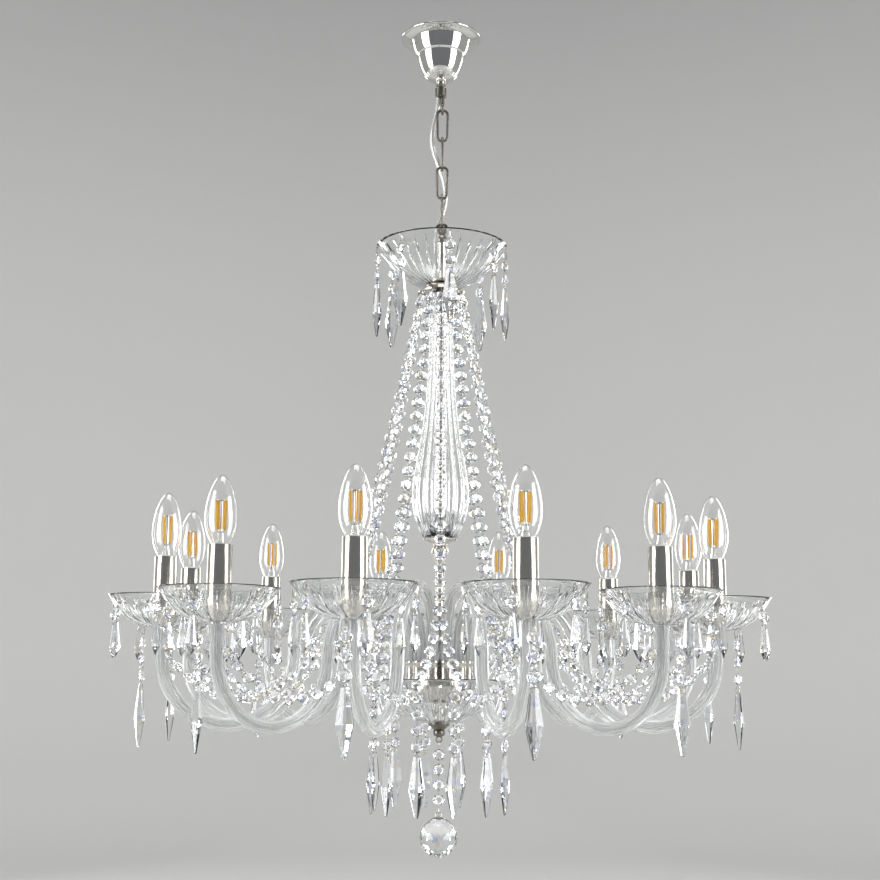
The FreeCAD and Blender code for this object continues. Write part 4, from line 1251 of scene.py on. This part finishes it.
# A wire hook between a glass rim and the first octagon, and the octagons' pitch above a drop.
HOOK_LENGTH = 9.0
# Beads on a string hang nearly square, in radians either way. Single drops turn more.
BEAD_TWIST = 0.14
DROP_PITCH = 18.5


class Jewels:
    """The templates of one stone setter's bench, and the copies placed so far."""

    def __init__(self, settings):
        self.pitch = settings.bead_pitch / MM
        self.bead = octagon_bead(settings.bead / MM)
        self.ring = wire_ring("pin", 1.9, 0.7, 8, 4)
        self.hook = wire_ring("hook", 2.2, 0.9, 10, 5)
        only(self.hook)
        bpy.ops.object.mode_set(mode="EDIT")
        bpy.ops.mesh.select_mode(type="VERT")
        pick(self.hook, lambda place: place.z < -0.01)
        bpy.ops.transform.translate(value=(0, 0, (4.4 - HOOK_LENGTH) * MM))
        bpy.ops.object.mode_set(mode="OBJECT")
        pear = settings.pear / MM
        self.pear = cut_stone(
            "pear",
            15,
            9,
            [(0.26, 0), (0.42, -1), (0.46, -pear * 0.1), (1.0, -pear * 0.72), (0.14, -pear * 0.99), (0.05, -pear)],
        )
        icicle = settings.icicle / MM
        self.icicle = cut_stone(
            "icicle",
            20,
            12,
            [(0.34, 0), (0.46, -1.2), (0.5, -6), (1.0, -icicle * 0.53), (0.24, -icicle * 0.985), (0.16, -icicle)],
        )
        self.random = random.Random(7)
        self.placed, self.pins = [], []

    def put(self, stone, place, run, outward, twist=0.3):
        swing = Matrix.Rotation(self.random.uniform(-twist, twist), 3, run)
        self.placed.append(copied(stone, "stone", facing(place, run, swing @ outward)))

    def pin(self, place, run, outward):
        turn = Matrix.Rotation(self.random.choice((0.0, 1.2)), 3, run)
        self.pins.append(copied(self.ring, "pin", facing(place, run, turn @ outward)))

    def string(self, points, outward):
        """Beads at the middles between points, and a pin at every point."""
        for above, below in zip(points, points[1:]):
            self.put(self.bead, (above + below) / 2, above - below, outward, BEAD_TWIST)
            self.pin(above, above - below, outward)

    def hang(self, hook, middle, beads, stone):
        """A wire hook at a glass rim, beads under it and a drop below them."""
        outward = Vector((hook.x - middle.x, hook.y - middle.y, 0)).normalized()
        self.pins.append(copied(self.hook, "hook", facing(hook - UP * 2.2, UP, outward)))
        first = hook - UP * HOOK_LENGTH
        points = [first - UP * DROP_PITCH * step for step in range(beads + 1)]
        self.string(points, outward)
        self.pin(points[-1], UP, outward)
        self.put(stone, points[-1] - UP * 0.6, UP, outward)

    def set_down(self, name, node):
        """Joins what was placed to one piece that stands for the node, with its pins."""
        stones = joined(name, self.placed)
        body = frame["nodes"][node]["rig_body"]
        dress(stones, "crystal", body, "cut_crystal", node)
        pins = joined(f"{name}_pins", self.pins)
        dress(pins, "nickel", body, "satin_nickel")
        self.placed, self.pins = [], []

    def clear_bench(self):
        for template in (self.bead, self.ring, self.hook, self.pear, self.icicle):
            discard(template)


def evenly(curve, pitch):
    """Points at equal steps of about the pitch along a curve given as a function of 0 to 1."""
    fine = [curve(index / 400) for index in range(401)]
    lengths = [0.0]
    for before, after in zip(fine, fine[1:]):
        lengths.append(lengths[-1] + (after - before).length)
    count = max(2, round(lengths[-1] / pitch))
    points, place = [], 0
    for index in range(count + 1):
        wanted = lengths[-1] * index / count
        while place < 399 and lengths[place + 1] < wanted:
            place += 1
        share = (wanted - lengths[place]) / (lengths[place + 1] - lengths[place])
        points.append(fine[place].lerp(fine[place + 1], share))
    return points


STRAND_TOP = Vector((27, 0, foot_of("strand_crown")))
STRAND_LOW = Vector((125, 0, HUB_TOP + 81.5))


class CHANDELIER_OT_strands(bpy.types.Operator):
    """Strings the bead strands from the column and the swags between the arms"""

    bl_idname = "chandelier.strands"
    bl_label = "Bead strands"

    def execute(self, context):
        bench = Jewels(context.scene.chandelier_crystals)

        def strand(share):
            spread = 0.78 * share + 0.22 * share**3
            across = STRAND_TOP.x + (STRAND_LOW.x - STRAND_TOP.x) * spread
            return Vector((across, 0, STRAND_TOP.z + (STRAND_LOW.z - STRAND_TOP.z) * share))

        line = evenly(strand, bench.pitch)
        for index in range(ARMS):
            turn = Matrix.Rotation(FIRST_ARM + ARM_STEP * (index + 0.5), 3, "Z")
            bench.string([turn @ point for point in line], turn @ Vector((1, 0, 0)))
        bench.set_down("strand_beads", "bead_strands")

        half = ARM_STEP / 2
        from_arm = Vector((math.sin(half), -math.cos(half), 0))
        end = Vector((math.cos(half), math.sin(half), 0)) * RING + from_arm * 6.9
        end.z = HUB_TOP + 31.5
        start = STRAND_LOW + Vector((0, 0.6, 0))

        def swag(share):
            sag = 4 * 78 * share * (1 - share)
            return start.lerp(end, share) - UP * sag + from_arm * (5.5 * math.sin(share * math.pi) ** 0.5 if share < 1 else 0)

        line = evenly(swag, bench.pitch)
        flip = Matrix.Diagonal((1, -1, 1))
        for index in range(ARMS):
            turn = Matrix.Rotation(FIRST_ARM + ARM_STEP * (index + 0.5), 3, "Z")
            for side in (Matrix.Identity(3), flip):
                bench.string([turn @ side @ point for point in line], turn @ Vector((1, 0, 0)))
        bench.set_down("swag_beads", "bead_swags")
        bench.clear_bench()
        return {"FINISHED"}


class CHANDELIER_OT_drops(bpy.types.Operator):
    """Hangs the pear drops and the icicles from the cups and the bowls"""

    bl_idname = "chandelier.drops"
    bl_label = "Drops"

    def execute(self, context):
        bench = Jewels(context.scene.chandelier_crystals)
        hook_height = CUP_FOOT + 33.4
        for index in range(ARMS):
            angle = FIRST_ARM + ARM_STEP * index
            candle = Vector((math.cos(angle), math.sin(angle), 0)) * RING
            for drop in range(6):
                beside = angle + math.radians(30 + 60 * drop)
                hook = candle + Vector((math.cos(beside), math.sin(beside), 0)) * 62.5 + UP * hook_height
                bench.hang(hook, candle, 1, bench.pear)
        bench.set_down("cup_pear_drops", "cup_pears")
        for index in range(ARMS):
            angle = FIRST_ARM + ARM_STEP * index
            outward = Vector((math.cos(angle), math.sin(angle), 0))
            hook = outward * (RING + 23) + UP * (CUP_FOOT + 1.4)
            bench.hang(hook, Vector((0, 0, 0)), 3, bench.icicle)
        bench.set_down("cup_icicle_drops", "cup_icicles")
        for node, count, octagons, turn in BOWL_DROPS:
            for index in range(count):
                angle = math.radians(turn) + math.tau * index / count
                hook = Vector((math.cos(angle), math.sin(angle), 0)) * 80.2
                hook.z = foot_of(node) + 48
                bench.hang(hook, Vector((0, 0, 0)), octagons, bench.icicle)
        bench.set_down("bowl_icicle_drops", "bowl_icicles")
        bench.clear_bench()
        return {"FINISHED"}


class CHANDELIER_OT_ball(bpy.types.Operator):
    """Models the crystal ball and the beads that it hangs on"""

    bl_idname = "chandelier.ball"
    bl_label = "Crystal ball"

    def execute(self, context):
        bench = Jewels(context.scene.chandelier_crystals)
        top, foot = top_of("ball_strand"), foot_of("ball_strand")
        upper = wire_ring("upper", 3.4, 1.4, 20, 8)
        upper.data.transform(Matrix.Rotation(math.pi / 2, 4, "Z"))
        lower = copied(upper, "lower", moved(z=foot + 4.2))
        upper.data.transform(moved(z=top - 4.2))
        high, low = top - 8.4, foot + 8.4
        pitch = (high - low) / 4
        points = [Vector((0, 0, high - pitch * step)) for step in range(5)]
        bench.string(points, Vector((0, -1, 0)))
        bench.pin(points[-1], UP, Vector((0, -1, 0)))
        bench.pins += [upper, lower]
        bench.set_down("ball_strand_beads", "ball_strand")
        bench.clear_bench()

        ball_low, ball_high = foot_of("crystal_ball"), top_of("crystal_ball")
        radius = 22.5
        object_mode()
        bpy.ops.mesh.primitive_uv_sphere_add(segments=14, ring_count=10, radius=radius * MM)
        ball = bpy.context.object
        bpy.ops.object.mode_set(mode="EDIT")
        bpy.ops.mesh.select_mode(type="VERT")
        steps = [radius * math.cos(math.pi * ring / 10) for ring in range(1, 10, 2)]
        for level in steps:
            pick(ball, lambda place: abs(place.z - level) < 0.3)
            bpy.ops.transform.rotate(value=math.tau / 28, orient_axis="Z", center_override=(0, 0, 0))
        pick(ball, lambda place: place.z > radius * 0.9)
        bpy.ops.transform.translate(value=(0, 0, 1.2 * MM))
        bpy.ops.mesh.select_all(action="SELECT")
        bpy.ops.mesh.quads_convert_to_tris(quad_method="SHORTEST_DIAGONAL")
        bpy.ops.mesh.normals_make_consistent(inside=False)
        bpy.ops.object.mode_set(mode="OBJECT")
        shade(ball, 0)
        ball.data.transform(moved(z=ball_low + radius))
        dress(ball, "crystal", "crystal_ball", "cut_crystal", "crystal_ball")
        cap = turned("ball_cap", [(4.6, 0), (4.8, 0.8), (3.2, 2.2), (1.4, 2.8)], 20)
        cap.data.transform(moved(z=ball_low + radius * 2 - 0.6))
        ring = wire_ring("ball_ring", 3.4, 1.4, 20, 8)
        ring.data.transform(moved(z=ball_high - 4.2))
        dress(joined("ball_cap_and_ring", [cap, ring]), "nickel", "crystal_ball", "satin_nickel")
        return {"FINISHED"}


# ---------------------------------------------------------------- stage


# The sweep is open towards the camera, where depth is over this share of the distance sideways.
SWEEP_OPENING = 0.8


class CHANDELIER_OT_stage(bpy.types.Operator):
    """Sets the paper sweep, the soft boxes and the camera"""

    bl_idname = "chandelier.stage"
    bl_label = "Stage"

    def execute(self, context):
        settings = context.scene.chandelier_stage
        radius = settings.radius / MM
        floor = CAD_BOX[0][2] / MM - settings.floor_drop / MM
        profile = [(60, floor), (radius * 0.6, floor), (radius * 0.8, floor + 40), (radius * 0.93, floor + 260)]
        profile += [(radius, floor + 800), (radius, floor + 2000), (radius, floor + 5200)]
        object_mode()
        sweep = turned("paper_sweep", profile, 96, False, 80)
        only(sweep)
        bpy.ops.object.mode_set(mode="EDIT")
        bpy.ops.mesh.select_mode(type="VERT")
        pick(sweep, lambda place: place.z > floor + 5000)
        bpy.ops.mesh.delete(type="ONLY_FACE")
        pick(sweep, lambda place: place.z > floor + 1 and place.y < -abs(place.x) * SWEEP_OPENING)
        bpy.ops.mesh.delete(type="VERT")
        bpy.ops.mesh.select_all(action="SELECT")
        bpy.ops.mesh.flip_normals()
        bpy.ops.object.mode_set(mode="OBJECT")
        sweep.data.materials.append(paper(tuple(settings.backdrop)))

        world = context.scene.world or bpy.data.worlds.new("studio")
        context.scene.world = world
        world.use_nodes = True
        world.node_tree.nodes["Background"].inputs["Color"].default_value = linear("#8F9297")
        world.node_tree.nodes["Background"].inputs["Strength"].default_value = 0.8

        for name, place, size, power in (
            ("soft box left", (-1.9, -0.9, -0.3), (1.1, 1.9), 42),
            ("soft box right", (1.9, -0.9, -0.3), (1.1, 1.9), 42),
            ("soft box above", (0, -0.3, 1.5), (1.6, 1.6), 40),
            ("rim strip left", (-1.5, 1.6, -0.3), (0.4, 1.8), 16),
            ("rim strip right", (1.5, 1.6, -0.3), (0.4, 1.8), 16),
        ):
            data = bpy.data.lights.new(name, "AREA")
            data.shape = "RECTANGLE"
            data.size, data.size_y = size
            data.energy = power
            lamp = bpy.data.objects.new(name, data)
            lamp.location = place
            target = Vector((0, 0, -0.55))
            lamp.rotation_euler = (target - Vector(place)).to_track_quat("-Z", "Y").to_euler()
            context.scene.collection.objects.link(lamp)

        camera = bpy.data.cameras.new("camera")
        camera.sensor_width = 36
        camera.lens = 36 * 1414 / 880
        camera.clip_start = 0.05
        holder = bpy.data.objects.new("camera", camera)
        context.scene.collection.objects.link(holder)
        pitch, roll = 0.1712, 0.0057
        holder.matrix_world = (
            Matrix.Translation((-0.00085, -1.704, -0.8186))
            @ Matrix.Rotation(math.pi / 2 + pitch, 4, "X")
            @ Matrix.Rotation(roll, 4, "Z")
        )
        context.scene.camera = holder
        context.scene.view_settings.view_transform = "Standard"
        return {"FINISHED"}


# ---------------------------------------------------------------- panel and running

STEPS = [
    CHANDELIER_OT_stage,
    CHANDELIER_OT_cord,
    CHANDELIER_OT_canopy,
    CHANDELIER_OT_chain,
    CHANDELIER_OT_column,
    CHANDELIER_OT_bowls,
    CHANDELIER_OT_hub,
    CHANDELIER_OT_arms,
    CHANDELIER_OT_cups,
    CHANDELIER_OT_candles,
    CHANDELIER_OT_lamps,
    CHANDELIER_OT_strands,
    CHANDELIER_OT_drops,
    CHANDELIER_OT_ball,
]
GROUPS = {
    "chandelier_metals": ChandelierMetals,
    "chandelier_glass": ChandelierGlass,
    "chandelier_crystals": ChandelierCrystals,
    "chandelier_stage": ChandelierStage,
}


class VIEW3D_PT_chandelier(bpy.types.Panel):
    """Lists the chandelier's settings and its modelling steps"""

    bl_label = "Chandelier"
    bl_idname = "VIEW3D_PT_chandelier"
    bl_space_type = "VIEW_3D"
    bl_region_type = "UI"
    bl_category = "Chandelier"

    def draw(self, context):
        for group, kind in GROUPS.items():
            box = self.layout.box()
            for name in kind.__annotations__:
                box.prop(getattr(context.scene, group), name)
        for step in STEPS:
            self.layout.operator(step.bl_idname)


def register():
    for kind in (*GROUPS.values(), *STEPS, VIEW3D_PT_chandelier):
        bpy.utils.register_class(kind)
    for group, kind in GROUPS.items():
        setattr(bpy.types.Scene, group, PointerProperty(type=kind))


def unregister():
    for group in GROUPS:
        delattr(bpy.types.Scene, group)
    for kind in reversed((*GROUPS.values(), *STEPS, VIEW3D_PT_chandelier)):
        bpy.utils.unregister_class(kind)


def main():
    register()
    make_finishes(bpy.context.scene)
    for step in STEPS:
        group, name = step.bl_idname.split(".")
        getattr(getattr(bpy.ops, group), name)()
    object_mode()


if __name__ == "__main__":
    main()
